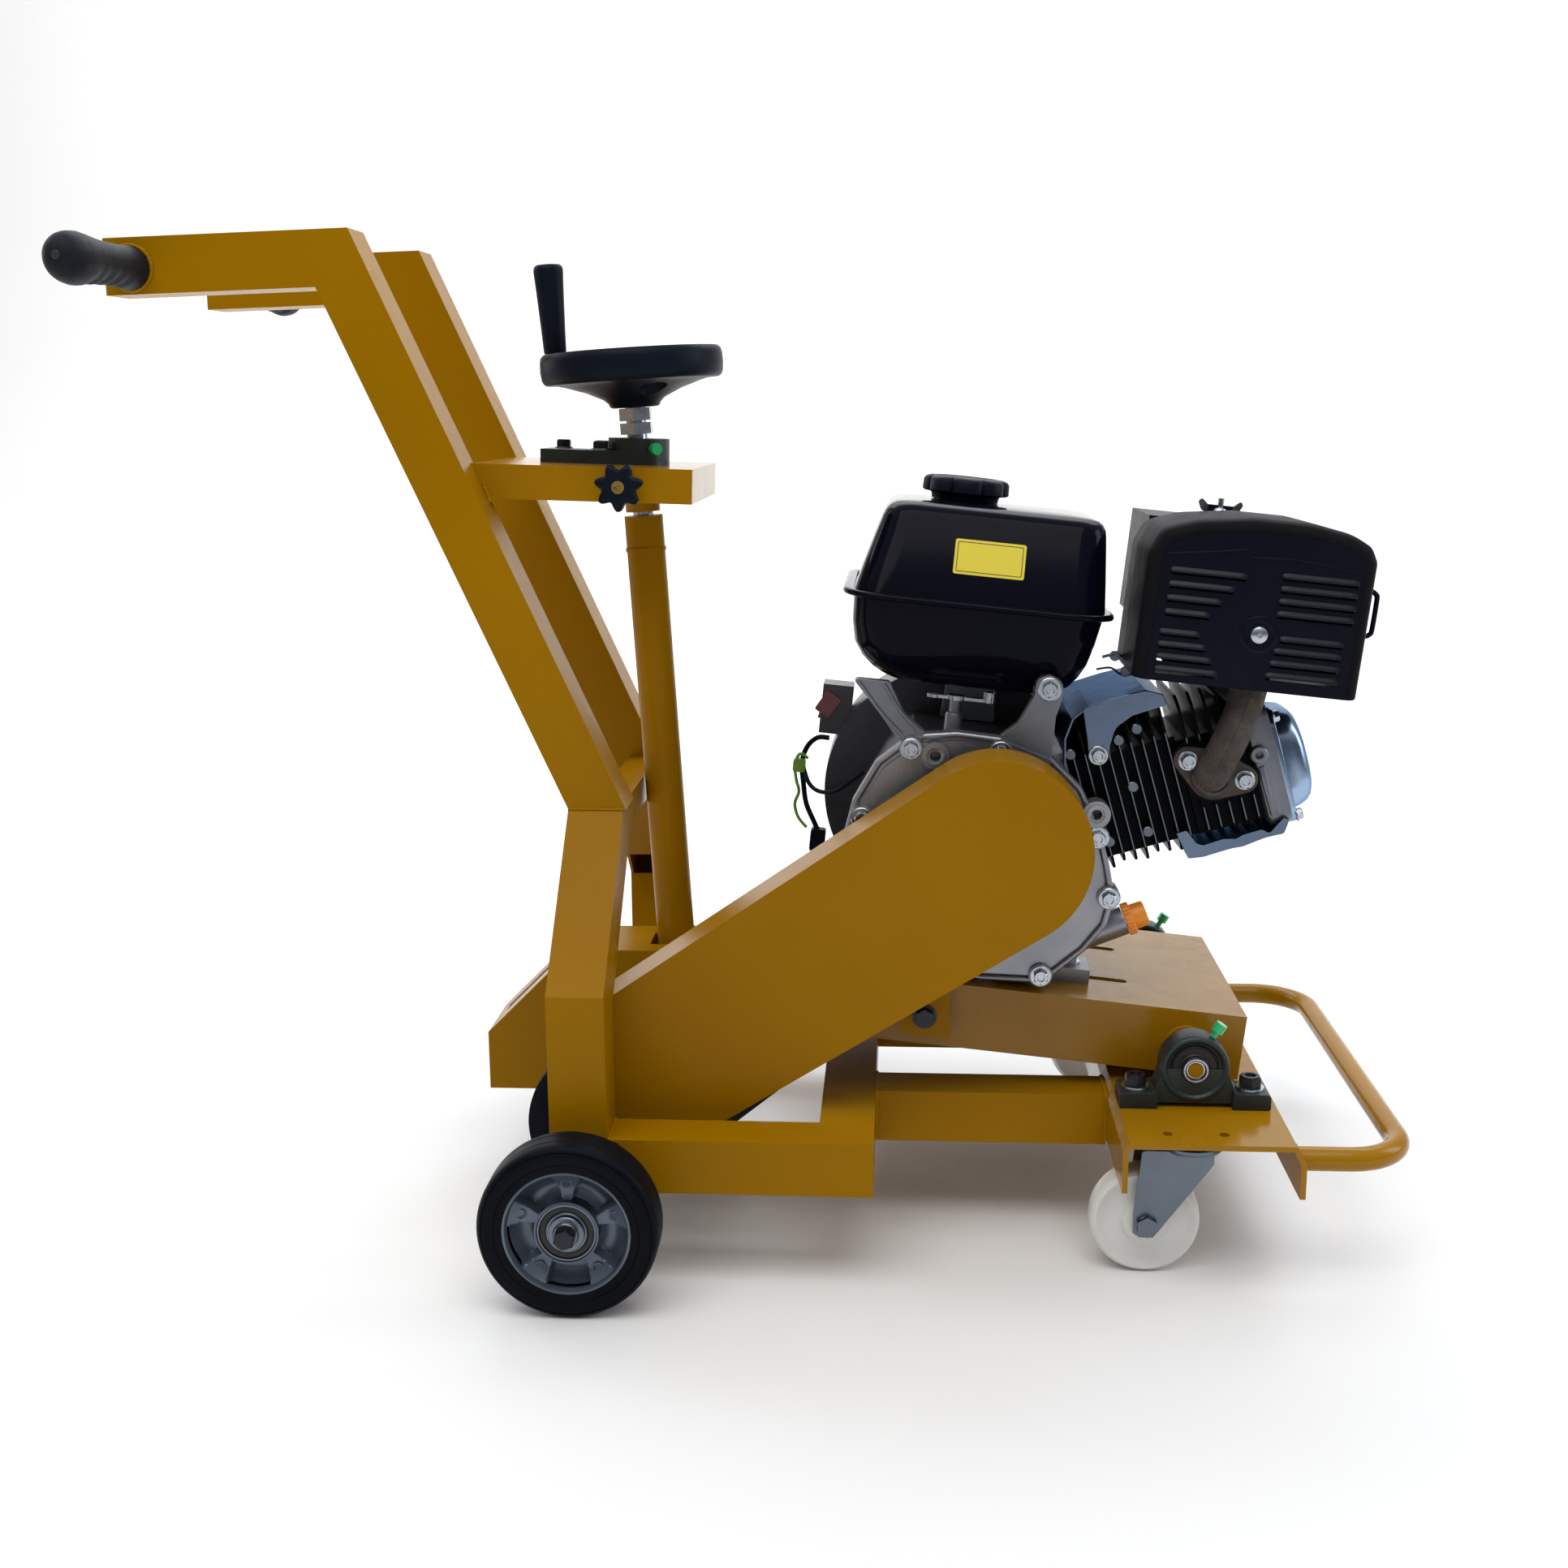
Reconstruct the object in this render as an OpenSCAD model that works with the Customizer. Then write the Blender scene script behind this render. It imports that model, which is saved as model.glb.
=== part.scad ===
// Walk-behind concrete saw, engine cradle in its raised position.
// Millimetres. +X is the way the saw is pushed, +Y its left side, +Z up, ground at z = 0.
// Positions inside the modules are measured from the rear wheel axis; saw() shifts the
// whole machine so that the middle of its box is at x = 0.

/* [Frame] */
// Outer side of the square frame tubes
tube = 50; // [40:1:60]
// Wall of the frame tubes
wall = 3; // [2:0.5:4]
// Half of the width over the lower posts and rear rails
half_low = 287; // [260:1:310]
// Half of the width over the upper posts and handles
half_up = 148; // [120:1:170]
// Lean of the upper posts from the vertical, in degrees
post_lean = 24.2; // [18:0.1:30]
// Height where the upper posts meet the flared posts
bend_z = 409; // [380:1:440]
// Underside of the handle tubes at their rear ends
handle_z = 880; // [850:1:900]
// Rear end of the handle tubes
handle_x = -432; // [-460:1:-400]
// Underside of the rails
rail_z = 87.5; // [80:0.5:95]
// Front end of the rear rails
rail_front = 264; // [240:1:290]
// Outer side of the narrower front rails
half_mid = 156; // [140:1:170]

/* [Front channel and bumper] */
// Rear face of the channel
chan_x = 483; // [470:1:500]
// Width of the channel
chan_w = 160; // [140:1:180]
// Top face of the channel
chan_top = 143; // [135:1:150]
// Lower edges of its flanges
chan_low = 94; // [88:1:100]
// Plate of the channel
chan_t = 5; // [4:0.5:8]
// Radius of the bumper tube
bump_r = 11; // [8:0.5:15]
// Front of the bumper
bump_front = 757; // [730:1:780]

/* [Wheels] */
// Radius of the rear wheels
wheel_r = 80; // [70:1:90]
// Width of the rear wheels
wheel_w = 45; // [35:1:55]
// Outer face of the rear wheels
wheel_y = 360; // [340:1:380]
// Radius of the caster wheels
cast_r = 50; // [40:1:60]
// Swivel axis of the casters along X
cast_x = 551; // [540:1:560]
// How far the caster axle trails behind the swivel axis
cast_trail = 40; // [30:1:50]
// Middle of the casters across the machine
cast_y = 229; // [210:1:240]

/* [Cradle] */
// Pivot axis along X
piv_x = 558; // [540:1:580]
// Pivot axis height
piv_z = 180; // [170:1:190]
// Nose-down tilt of the raised cradle, in degrees
tilt = 6; // [0:0.5:9]
// Half of the platform width
plat_hw = 134; // [120:1:145]
// Top of the platform above the pivot axis
plat_top = 35; // [30:1:40]
// Depth of the platform side flanges
plat_deep = 63; // [50:1:75]
// Radius of the pivot shaft
piv_r = 8.5; // [8:0.5:12]
// Middle of the pivot bearing blocks across the machine
block_y = 185; // [175:1:215]

/* [Lift] */
// Lean of the lift screw from the vertical, in degrees
lift_lean = 3.3; // [0:0.1:6]
// Radius of the lift screw
screw_r = 10; // [8:0.5:12]
// Radius of the lift tube
lift_r = 19; // [14:0.5:20]
// Radius of the handwheel
hw_r = 89; // [70:1:100]

/* [Drive] */
// Crankshaft axis from the pivot, along the platform
crank_x = -205; // [-215:1:-195]
// Crankshaft axis above the pivot
crank_z = 173; // [165:1:185]
// Radius of the crankshaft
crank_r = 12.7; // [11:0.1:15]
// Arbor axis from the rear wheel axis along X
arb_x = 10; // [0:1:20]
// Arbor axis height
arb_z = 113; // [105:1:120]
// Radius of the arbor
arb_r = 12.5; // [10:0.1:15]
// Radius of the driven pulley
big_r = 75; // [60:1:78]
// Radius of the drive pulley on the crankshaft
small_r = 50; // [40:1:60]

/* [Clearances] */
// Radial clearance of shafts that turn in bores
run = 0.05; // [0.01:0.01:0.1]

/* [Hidden] */
$fn = 48;
mid_x = (handle_x + bump_front)/2;
low_in = half_low - tube;
up_in = half_up - tube;
post_t = tan(post_lean);
post_hw = tube/cos(post_lean);

// ---- placing ----
module saw() { translate([-mid_x, 0, 0]) children(); }
// cradle frame: origin on the pivot axis, x along the platform, z square to it
module crd() { saw() translate([piv_x, 0, piv_z]) rotate([0, tilt, 0]) children(); }
// cylinder frame: x along the cylinder axis from the crankshaft
module barrel() { crd() translate([crank_x, 0, crank_z]) rotate([0, -22, 0]) children(); }
// lift frame: z up along the screw, z = 0 where its axis is 216 above the ground
module lift() { saw() translate([57, 0, 216]) rotate([0, -lift_lean, 0]) children(); }
module xz(y0, y1) { translate([0, y1, 0]) rotate([90, 0, 0]) linear_extrude(y1 - y0) children(); }
module yz(x0, x1) { translate([x0, 0, 0]) rotate([90, 0, 90]) linear_extrude(x1 - x0) children(); }
module cyl_y(r, y0, y1) { translate([0, y0, 0]) rotate([-90, 0, 0]) cylinder(r = r, h = y1 - y0); }
module cyl_x(r, x0, x1) { translate([x0, 0, 0]) rotate([0, 90, 0]) cylinder(r = r, h = x1 - x0); }
module box(a, b) { translate(a) cube([b[0] - a[0], b[1] - a[1], b[2] - a[2]]); }
module hex(af, h) { rotate([0, 0, 30]) cylinder(r = af/sqrt(3), h = h, $fn = 6); }
// hollow square tube between two corners, closed by its walls
module rhs(a, b, t = wall) {
  difference() {
    box(a, b);
    box([a[0] + t, a[1] + t, a[2] + t], [b[0] - t, b[1] - t, b[2] - t]);
  }
}
// hex head bolt pointing along -z: washer, head above z = 0, shank below
module bolt(r, len, af, head) {
  translate([0, 0, -len]) cylinder(r = r, h = len + 1);
  cylinder(r = af*0.72, h = 2);
  translate([0, 0, 2]) hex(af, head);
}

// ---- side frames ----
module post_profile(t) {
  // the post between the bend and the handle, then the handle, both inset by t
  rx = -26 + t/cos(post_lean);
  fx = -26 + post_hw - t/cos(post_lean);
  top0 = handle_z + tube - t;
  bot0 = handle_z + t;
  hs = 0.03;
  z1 = (bot0 + hs*(rx + post_t*bend_z - handle_x))/(1 + hs*post_t);
  z2 = (top0 + hs*(fx + post_t*bend_z - handle_x))/(1 + hs*post_t);
  polygon([[rx, bend_z + t*0.3], [rx - post_t*(z1 - bend_z), z1],
    [handle_x + t, bot0 + hs*t], [handle_x + t, top0 + hs*t],
    [fx - post_t*(z2 - bend_z), z2], [fx, bend_z + t*0.3]]);
}
module flare_profile(t) {
  d = t*0.41;
  polygon([[up_in + t, bend_z], [up_in + t, bend_z - 20.7 + d], [low_in + t, 249.3 - d - t],
    [low_in + t, 62 + t], [half_low - t, 62 + t], [half_low - t, 270 - d], [half_up - t, bend_z - d]]);
}
module side_frame() {
  saw() difference() {
    union() {
      xz(up_in, half_up) post_profile(0);
      yz(-26, 26) flare_profile(0);
    }
    xz(up_in + wall, half_up - wall) post_profile(wall);
    yz(-26 + wall, 26 - wall) flare_profile(wall);
    // hole for the stub axle
    translate([0, 0, wheel_r]) cyl_y(10, low_in - 5, half_low + 5);
  }
}
module side_frame_left() { color("goldenrod") side_frame(); }
module side_frame_right() { color("goldenrod") mirror([0, 1, 0]) side_frame(); }

// ---- base frame ----
module base_frame() {
  color("goldenrod") saw() {
    for (s = [0, 1]) mirror([0, s, 0]) {
      rhs([26, low_in, rail_z], [rail_front, half_low, rail_z + tube]);
      rhs([rail_front, half_mid - tube, rail_z], [chan_x, half_mid, rail_z + tube]);
    }
    rhs([rail_front - tube, -low_in, rail_z], [rail_front, low_in, rail_z + tube]);
  }
}
module post_crossbar() {
  color("goldenrod") saw() rhs([-4, -up_in, 385], [26, up_in, 413], 2.5);
}

// ---- front channel: top plate, two flanges, open below ----
module front_channel() {
  x1 = chan_x + chan_w;
  color("goldenrod") saw() difference() {
    yzs = [0];
    xz(-half_low, half_low) polygon([[chan_x, chan_low + 2.5], [chan_x, chan_top - 6],
      [chan_x + 6, chan_top], [x1 - 9, chan_top], [x1, chan_top - 16], [x1, chan_low],
      [x1 - chan_t, chan_low], [x1 - chan_t, chan_top - 17.5], [x1 - 11, chan_top - chan_t],
      [chan_x + 8, chan_top - chan_t], [chan_x + chan_t, chan_top - 8], [chan_x + chan_t, chan_low + 2.5]]);
    // bolt holes at both ends
    for (x = [525, 575]) for (s = [-1, 1])
      translate([x, s*262, chan_top - 10]) cylinder(r = 4.5, h = 20);
    // pivot block and caster bolt holes
    for (x = [-52.5, 52.5]) for (s = [-1, 1])
      translate([piv_x + x, s*block_y, chan_top - 10]) cylinder(r = 6.2, h = 20);
  }
}
module front_bumper() {
  x0 = chan_x + chan_w; xc = bump_front - bump_r - 55; yc = 238 - 55; z = 112;
  color("goldenrod") saw() {
    for (s = [0, 1]) mirror([0, s, 0]) {
      translate([0, 238, z]) cyl_x(bump_r, x0, xc);
      translate([xc, yc, z]) rotate_extrude(angle = 90) translate([55, 0]) circle(r = bump_r);
    }
    translate([xc + 55, 0, z]) cyl_y(bump_r, -yc, yc);
  }
}

// ---- lift shelf: folded plate between the posts, carrying the screw bearing ----
module lift_shelf() {
  color("goldenrod") difference() {
    union() {
      saw() difference() {
        translate([92, 0, 722]) rotate([0, 1.9, 0]) difference() {
          box([-240, -108, -32], [0, 108, 0]);
          box([-241, -104, -33], [-4, 104, -4]);
        }
        // rear end cut along the front faces of the posts
        xz(-200, 200) polygon([[-26 + post_hw - post_t*(600 - bend_z) - 0, 600],
          [-26 + post_hw - post_t*(800 - bend_z), 800], [-260, 800], [-260, 600]]);
      }
      // collar under the shelf
      lift() translate([0, 0, 463]) cylinder(r = 17, h = 42);
    }
    lift() translate([0, 0, 440]) cylinder(r = screw_r + 0.6, h = 100);
    // hole for the lock stud
    saw() translate([25.5, 0, 707]) cyl_y(4 + run, -130, -10);
  }
}
module handle_grips() {
  color("black") saw() for (s = [0, 1]) mirror([0, s, 0]) translate([-408, 0, 904]) {
    cyl_y(18, half_up, 279);
    translate([0, 279, 0]) sphere(r = 18);
    for (i = [0:4]) translate([0, 168 + i*22, 0]) cyl_y(19.5, -4, 4);
  }
}

// ---- pivot bearing blocks, bolts and grease caps ----
module pivot_blocks() {
  color("darkslategray") saw() for (s = [0, 1]) mirror([0, s, 0])
    translate([piv_x, block_y, piv_z]) difference() {
      union() {
        xz(-19, 19) polygon([[-69, -37], [-69, -22], [-36, -22], [-32, -24], [32, -24], [36, -22],
          [69, -22], [69, -37]]);
        xz(-14, 14) polygon([[-34, -30], [-28, 0], [28, 0], [34, -30]]);
        cyl_y(31.5, -15, 15);
        cyl_y(12.5, -17, 17);
      }
      cyl_y(piv_r + run, -30, 30);
      for (x = [-52.5, 52.5]) translate([x, 0, -40]) cylinder(r = 6.2, h = 30);
    }
}
module frame_bolts() {
  color("dimgray") {
    saw() for (s = [-1, 1]) for (x = [-52.5, 52.5])
      translate([piv_x + x, s*block_y, piv_z - 22]) bolt(6, 20, 18, 8);
    shelf() for (p = BRG) translate([p[0], p[1], 13]) bolt(4, 12.8, 13, 6);
    // hex bolt heads that hold the stub axles
    saw() for (s = [0, 1]) mirror([0, s, 0]) translate([0, wheel_y, wheel_r]) rotate([-90, 0, 0])
      translate([0, 0, -3]) { cylinder(r = 17, h = 3); translate([0, 0, 3]) hex(24, 8); }
  }
}
module grease_caps() {
  color("limegreen") {
    saw() for (s = [-1, 1]) translate([piv_x, s*block_y, piv_z]) rotate([0, 32, 0])
      translate([0, 0, 31.8]) { cylinder(r = 3, h = 6); translate([0, 0, 6]) cylinder(r = 5.5, h = 9); }
    shelf() translate([-65, 0, 16]) rotate([0, 90, -59])
      translate([0, 0, 30.2]) { cylinder(r = 3, h = 6); translate([0, 0, 6]) cylinder(r = 5.5, h = 8); }
  }
}
// shelf frame: origin on the front edge of the shelf top
module shelf() { saw() translate([92, 0, 722]) rotate([0, 1.9, 0]) children(); }
BRG = [[-103, 10], [-100, -20], [-141, 10]];
module screw_bearing() {
  color("darkslategray") difference() {
    shelf() union() {
      box([-157, -30, 0], [-65, 22, 13]);
      translate([-65, 0, 0]) cylinder(r = 30, h = 25);
    }
    lift() translate([0, 0, 480]) cylinder(r = screw_r + run, h = 80);
    for (p = BRG) shelf() translate([p[0], p[1], -5]) cylinder(r = 4, h = 40);
  }
}
// stub axles through the lower posts
module wheel_axles() {
  color("silver") saw() for (s = [0, 1]) mirror([0, s, 0]) translate([0, 0, wheel_r]) {
    cyl_y(10, low_in - 14, wheel_y - 3);
    cyl_y(16, half_low, wheel_y - wheel_w - 2);
    translate([0, low_in, 0]) rotate([90, 0, 0]) hex(28, 12);
  }
}
// caster top plates with their swivel cups, bolted under the channel
module caster_mounts() {
  zt = chan_top - chan_t;
  color("silver") saw() for (s = [-1, 1]) translate([cast_x, s*cast_y, 0]) difference() {
    union() {
      box([-45, -38, zt - 4], [45, 38, zt]);
      translate([0, 0, zt - 14]) cylinder(r = 26, h = 11);
    }
    translate([0, 0, 100]) cylinder(r = 7 + run, h = 60);
  }
}

// ---- cradle ----
module cradle_platform() {
  t = 5; z0 = plat_top - plat_deep;
  color("goldenrod") crd() difference() {
    union() {
      difference() {
        box([-400, -plat_hw, z0], [54, plat_hw, plat_top]);
        box([-410, -plat_hw + t, z0 - 1], [54 - t, plat_hw - t, plat_top - t]);
      }
      // pivot bosses on the side flanges
      for (s = [0, 1]) mirror([0, s, 0]) cyl_y(18, plat_hw - 14, plat_hw + 24);
      // side arms that carry the arbor and the hood
      for (s = [0, 1]) mirror([0, s, 0]) xz(plat_hw - t - 8, plat_hw - t)
        polygon([[-330, 28], [-440, 20], [-575, -88], [-575, -160], [-505, -160], [-400, -28], [-330, -28]]);
      // cross plate between the arms and the hood
      box([-402, -plat_hw + t, z0], [-396, plat_hw - t, plat_top - t]);
      for (s = [0, 1]) mirror([0, s, 0]) box([-470, 45, -30], [-462, plat_hw - t, 0]);
    }
    cyl_y(piv_r, -200, 200);
    // engine mounting slots
    for (x = [-85, -280]) for (y = [-63, 45]) hull() for (d = [-28, 28])
      translate([x + d, y, 0]) cylinder(r = 5.5, h = 60, $fn = 24);
    // arbor housing seat
    arb() cyl_y(34, -plat_hw - 1, -100);
  }
}
// arbor axis in the cradle frame
module arb() {
  c = cos(tilt); s = sin(tilt); dx = arb_x - piv_x; dz = arb_z - piv_z;
  translate([dx*c - dz*s, 0, dx*s + dz*c]) children();
}
module pivot_shaft() { color("silver") crd() cyl_y(piv_r, -block_y - 15, block_y + 15); }

// belt guard: side plate and rim, open towards the engine and below the driven pulley
module guard_shape(r, b) {
  a = 34.3; c = 31.9;
  translate([373, 384]) circle(r = r, $fn = 96);
  polygon([[373 - r*sin(a), 384 + r*cos(a)], [373 + r*sin(c), 384 - r*cos(c)],
    [373 + r*sin(c) - (384 - r*cos(c) - b)/tan(c), b], [-6, b],
    [-6, 384 + r*cos(a) - (373 - r*sin(a) + 6)*tan(a)]]);
}
module belt_guard() {
  color("goldenrod") saw() {
    xz(-215, -212.5) guard_shape(86, 125);
    xz(-212.5, -150) difference() {
      guard_shape(86, 125);
      guard_shape(83.5, 60);
      translate([-20, 120]) square([15, 200]);
      // the rim is open under the pulleys, where the belts run out of it
      translate([60, 100]) square([270, 70]);
      polygon([[60, 120], [60, 200], [150, 200], [330, 262], [360, 120]]);
    }
    // slotted bracket on the platform side
    difference() {
      union() {
        xz(-150, -146) polygon([[286, 262], [286, 194], [334, 189], [334, 285]]);
        // bracket foot against the platform flange
        xz(-146, -134) polygon([[298, 200], [322, 198], [322, 222], [298, 224]]);
      }
      translate([310, 0, 211]) cyl_y(6, -160, -130);
    }
  }
}
module guard_bolts() {
  color("dimgray") saw() translate([310, -150, 211]) rotate([90, 0, 0]) bolt(6, 16, 16, 7);
}
// blade hood: side, rear, sloping, top and front plates, open below
module hood_shape(t) {
  polygon([[-135 + t, 90.5 - (t > 0 ? 5 : 0)], [-135 + t, 151 - 0.4*t], [-46 + 0.4*t, 240 - t],
    [140 - t, 240 - t], [140 - t, 90.5 - (t > 0 ? 5 : 0)]]);
}
module blade_hood() {
  color("goldenrod") saw() difference() {
    union() {
      difference() {
        xz(-45, 45) hood_shape(0);
        xz(-42, 42) hood_shape(3);
      }
      // pin that holds the foot of the lift tube
      translate([56.3, 0, 228]) cyl_y(6, -44, 44);
    }
    // arbor hole on the right, access hole on the left
    translate([arb_x, 0, arb_z]) { cyl_y(35, -60, -30); cyl_y(40, 30, 60); }
    // opening for the lift tube
    box([31, -21, 230], [84, 21, 260]);
    // slot in the sloping plate, open at its lower end
    translate([-91, 0, 196]) rotate([0, -45, 0]) box([-46, -9, -20], [32, 9, 12]);
  }
}
module arbor_housing() {
  color("darkslategray") crd() arb() difference() {
    union() { cyl_y(33.9, -129, -52); cyl_y(48, -121, -111); }
    cyl_y(arb_r + run, -140, -40);
    cyl_y(22, -106, -75);
  }
}
// two V-belts
module belt_loop(o) {
  c = cos(tilt); s = sin(tilt);
  ax = (arb_x - piv_x)*c - (arb_z - piv_z)*s; az = (arb_x - piv_x)*s + (arb_z - piv_z)*c;
  hull() {
    translate([crank_x, crank_z]) circle(r = small_r + o, $fn = 60);
    translate([ax, az]) circle(r = big_r + o, $fn = 60);
  }
}
module drive_belts() {
  color("black") crd() for (y = [-180.5, -164.5])
    xz(y - 4.7, y + 4.7) difference() { belt_loop(0.5); belt_loop(-7); }
}

// ---- engine ----
module crankcase() {
  color("silver") crd() difference() {
    union() {
      // case body
      xz(-110, 55) polygon([[-290, 47], [-322, 110], [-336, 177], [-312, 232], [-288, 262],
        [-160, 262], [-112, 212], [-88, 135], [-104, 84], [-140, 47]]);
      // mounting feet
      for (y = [-63, 45]) for (x = [-112, -307]) {
        box([x - 20, y - 24, plat_top], [x + 20, y + 24, plat_top + 14]);
        box([x < -200 ? x + 20 : x - 60, y - 14, plat_top], [x < -200 ? x + 60 : x - 20, y + 14, plat_top + 14]);
      }
      // cylinder deck
      translate([crank_x, 0, crank_z]) rotate([0, -22, 0]) box([60, -90, -70], [88, 40, 60]);
    }
    // hollow inside
    xz(-102, 47) polygon([[-282, 57], [-312, 112], [-325, 176], [-304, 227], [-283, 253],
      [-165, 253], [-122, 208], [-99, 135], [-113, 88], [-144, 57]]);
    translate([crank_x, 0, crank_z]) cyl_y(crank_r + 8, -120, 60);
    for (y = [-63, 45]) for (x = [-112, -307]) translate([x, y, 0]) cylinder(r = 5.5, h = 60);
    translate([-97, -80, 85]) rotate([0, 62, 0]) translate([0, 0, -14]) cylinder(r = 14, h = 66);
    // seat of the cylinder
    barrel_local() box([88, -100, -80], [200, 56, 90]);
  }
}
module crankcase_cover() {
  pts = [[-291, 269], [-250, 276], [-207, 275], [-160, 262], [-128, 236], [-106, 200], [-93, 165],
    [-84, 135], [-88, 105], [-105, 78], [-140, 42], [-200, 38], [-270, 44], [-306, 78],
    [-332, 120], [-345, 165], [-340, 200], [-322, 240]];
  color("silver") crd() difference() {
    union() {
      xz(-120, -110) polygon(pts);
      xz(-124, -120) offset_poly(pts, 0.93);
      translate([crank_x, 0, crank_z]) cyl_y(38, -136, -120);
      // bolt bosses round the rim and the two mounting bosses
      for (p = [[-291, 256], [-144, 51], [-90, 134], [-108, 191], [-330, 185], [-285, 62], [-208, 262]])
        translate([p[0], 0, p[1]]) cyl_y(11, -128, -110);
      for (p = [[-268, 252], [-112, 213]]) translate([p[0], 0, p[1]]) cyl_y(13, -130, -110);
    }
    translate([crank_x, 0, crank_z]) cyl_y(crank_r + run, -140, -100);
    for (p = [[-268, 252], [-112, 213]]) translate([p[0], 0, p[1]]) cyl_y(5, -131, -112);
  }
}
module offset_poly(p, k) {
  polygon([for (q = p) [-213 + (q[0] + 213)*k, 157 + (q[1] - 157)*k]]);
}
module flange_bolt(x, y, z, r = 5) {
  translate([x, y, z]) rotate([90, 0, 0]) {
    cylinder(r = r*2, h = 2);
    translate([0, 0, 2]) hex(r*3, 6);
  }
}
module engine_bolts() {
  color("lightgray") {
    crd() {
      for (p = [[-291, 256], [-144, 51], [-90, 134], [-108, 191], [-330, 185], [-285, 62], [-208, 262]])
        flange_bolt(p[0], -128, p[1], 4.4);
      flange_bolt(-170, -124, 325);
      for (y = [-63, 45]) for (x = [-112, -307]) translate([x, y, plat_top + 14]) {
        bolt(5, 34, 16, 7);
        translate([0, 0, -28]) hex(16, 8);
      }
      translate([6.5, -150.2, 398]) rotate([90, 0, 0]) { cylinder(r = 8, h = 2); translate([0, 0, 2]) hex(10, 4); }
    }
    barrel() for (p = [[197, 24], [243, -8]]) translate([p[0], -104, p[1]]) rotate([90, 0, 0]) {
      cylinder(r = 8.5, h = 2); translate([0, 0, 2]) hex(13, 8); }
    barrel() translate([118, -101.5, 51]) rotate([90, 0, 0]) { cylinder(r = 9, h = 2); translate([0, 0, 2]) hex(12, 6); }
  }
}
module cylinder_block() {
  color("dimgray") barrel() difference() {
    union() {
      box([88, -84, -52], [192, 36, 46]);
      for (i = [0:8]) box([94 + i*11, -99, -62], [97 + i*11, 50, 60]);
    }
    translate([0, -24, -3]) cyl_x(44, 80, 185);
  }
}
module cylinder_head() {
  color("dimgray") barrel() {
    box([192, -88, -62], [280, 40, 44]);
    for (i = [0:6]) box([200 + i*12, -96, -76], [203 + i*12, 46, 54]);
    // exhaust port flange
    box([188, -98, -26], [254, -88, 40]);
  }
}
module valve_cover() {
  color("silver") barrel() {
    box([280, -86, -68], [285, 38, 46]);
    box([285, -78, -60], [316, 30, 38]);
    translate([300, -24, -11]) rotate([0, 90, 0]) cylinder(r = 44, h = 21);
  }
}
// pressed sheet over the cylinder and the shield under the head
module cooling_shroud() {
  color("silver") {
    barrel() {
      difference() {
        xz(-101.5, 54) polygon([[89, 50], [97, 76], [138, 92], [178, 92], [190, 74], [194, 84],
          [182, 96], [136, 96], [93, 80], [85, 50]]);
        box([80, -90, 40], [100, 44, 70]);
      }
      xz(-101.5, -99.5) polygon([[104, 40], [130, 40], [150, 74], [186, 80], [182, 93], [138, 93],
        [98, 78]]);
      xz(-101, 48) polygon([[182, -81], [206, -82], [228, -92], [262, -84], [264, -79], [230, -87],
        [208, -77], [184, -76.6]]);
      box([182, -101, -82], [262, -99, -62]);
    }
  }
}
// fuel tank: upper shell, seam flange and lower shell
module tank_body(t) {
  intersection() {
    xz(-200, 200) polygon([[-360 + t, 392], [-358 + t, 345], [-318 + t*0.7, 313 + t],
      [-160 - t*0.7, 313 + t], [-128 - t, 352], [-124 - t, 394], [-131 - t, 468], [-140 - t, 480 - t],
      [-326 + t, 480 - t], [-336 + t, 470]]);
    yz(-400, 0) polygon([[-116 + t, 394], [-108 + t, 345], [-88 + t, 313 + t], [100 - t, 313 + t],
      [120 - t, 345], [124 - t, 394], [98 - t, 472], [88 - t, 480 - t], [-74 + t, 480 - t],
      [-84 + t, 472]]);
  }
}
module fuel_tank() {
  color("black") crd() difference() {
    union() {
      tank_body(0);
      box([-371, -124, 390], [-115, 131, 396]);
      translate([-263, 20, 470]) cylinder(r = 27, h = 18);
    }
    difference() { tank_body(2.5); }
    translate([-263, 20, 460]) cylinder(r = 23, h = 40);
  }
}
// plain yellow label on the sloping side of the tank
module caution_label() {
  color("yellow") crd() translate([-238, -98.9, 436]) rotate([-22.3, 0, 0]) box([-33, -1.2, -17], [33, 0, 17]);
}
module tank_brackets() {
  color("silver") crd() {
    xz(-124, -112) polygon([[-209, 277], [-160, 264], [-161, 300], [-157, 320], [-160, 336],
      [-178, 338], [-184, 326], [-195, 290]]);
    xz(-124, -112) polygon([[-353, 316], [-318, 316], [-301, 288], [-280, 274.5], [-291, 271.5],
      [-304, 266], [-325, 287]]);
    box([-262, 30, 262.5], [-206, 42, 313]);
    // governor stud and its arm
    translate([-252, -62, 262]) { cylinder(r = 8, h = 22); cylinder(r = 5, h = 34); }
  }
}
module muffler() {
  color("dimgray") crd() difference() {
    intersection() {
      xz(-140, -40) polygon([[-80, 372], [-68, 360], [78, 360], [90, 372], [90, 458], [78, 470],
        [-68, 470], [-80, 458]]);
      yz(-100, 100) polygon([[-138, 378], [-122, 360], [-60, 360], [-44, 378], [-44, 452],
        [-60, 470], [-122, 470], [-138, 452]]);
    }
    intersection() {
      xz(-136, -44) polygon([[-76, 374], [-66, 364], [76, 364], [86, 374], [86, 456], [76, 466],
        [-66, 466], [-76, 456]]);
      yz(-100, 100) polygon([[-134, 380], [-120, 364], [-62, 364], [-48, 380], [-48, 450],
        [-62, 466], [-120, 466], [-134, 450]]);
    }
  }
}
module guard_profile(t) {
  polygon([[-99 + t, 348], [-99 + t, 466], [-88 + t, 484 - t], [-59, 494 - t], [-10, 500 - t],
    [40, 500 - t], [78 - t*0.4, 494 - t], [98 - t, 484 - t], [103 - t, 476], [103 - t, 348]]);
}
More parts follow.
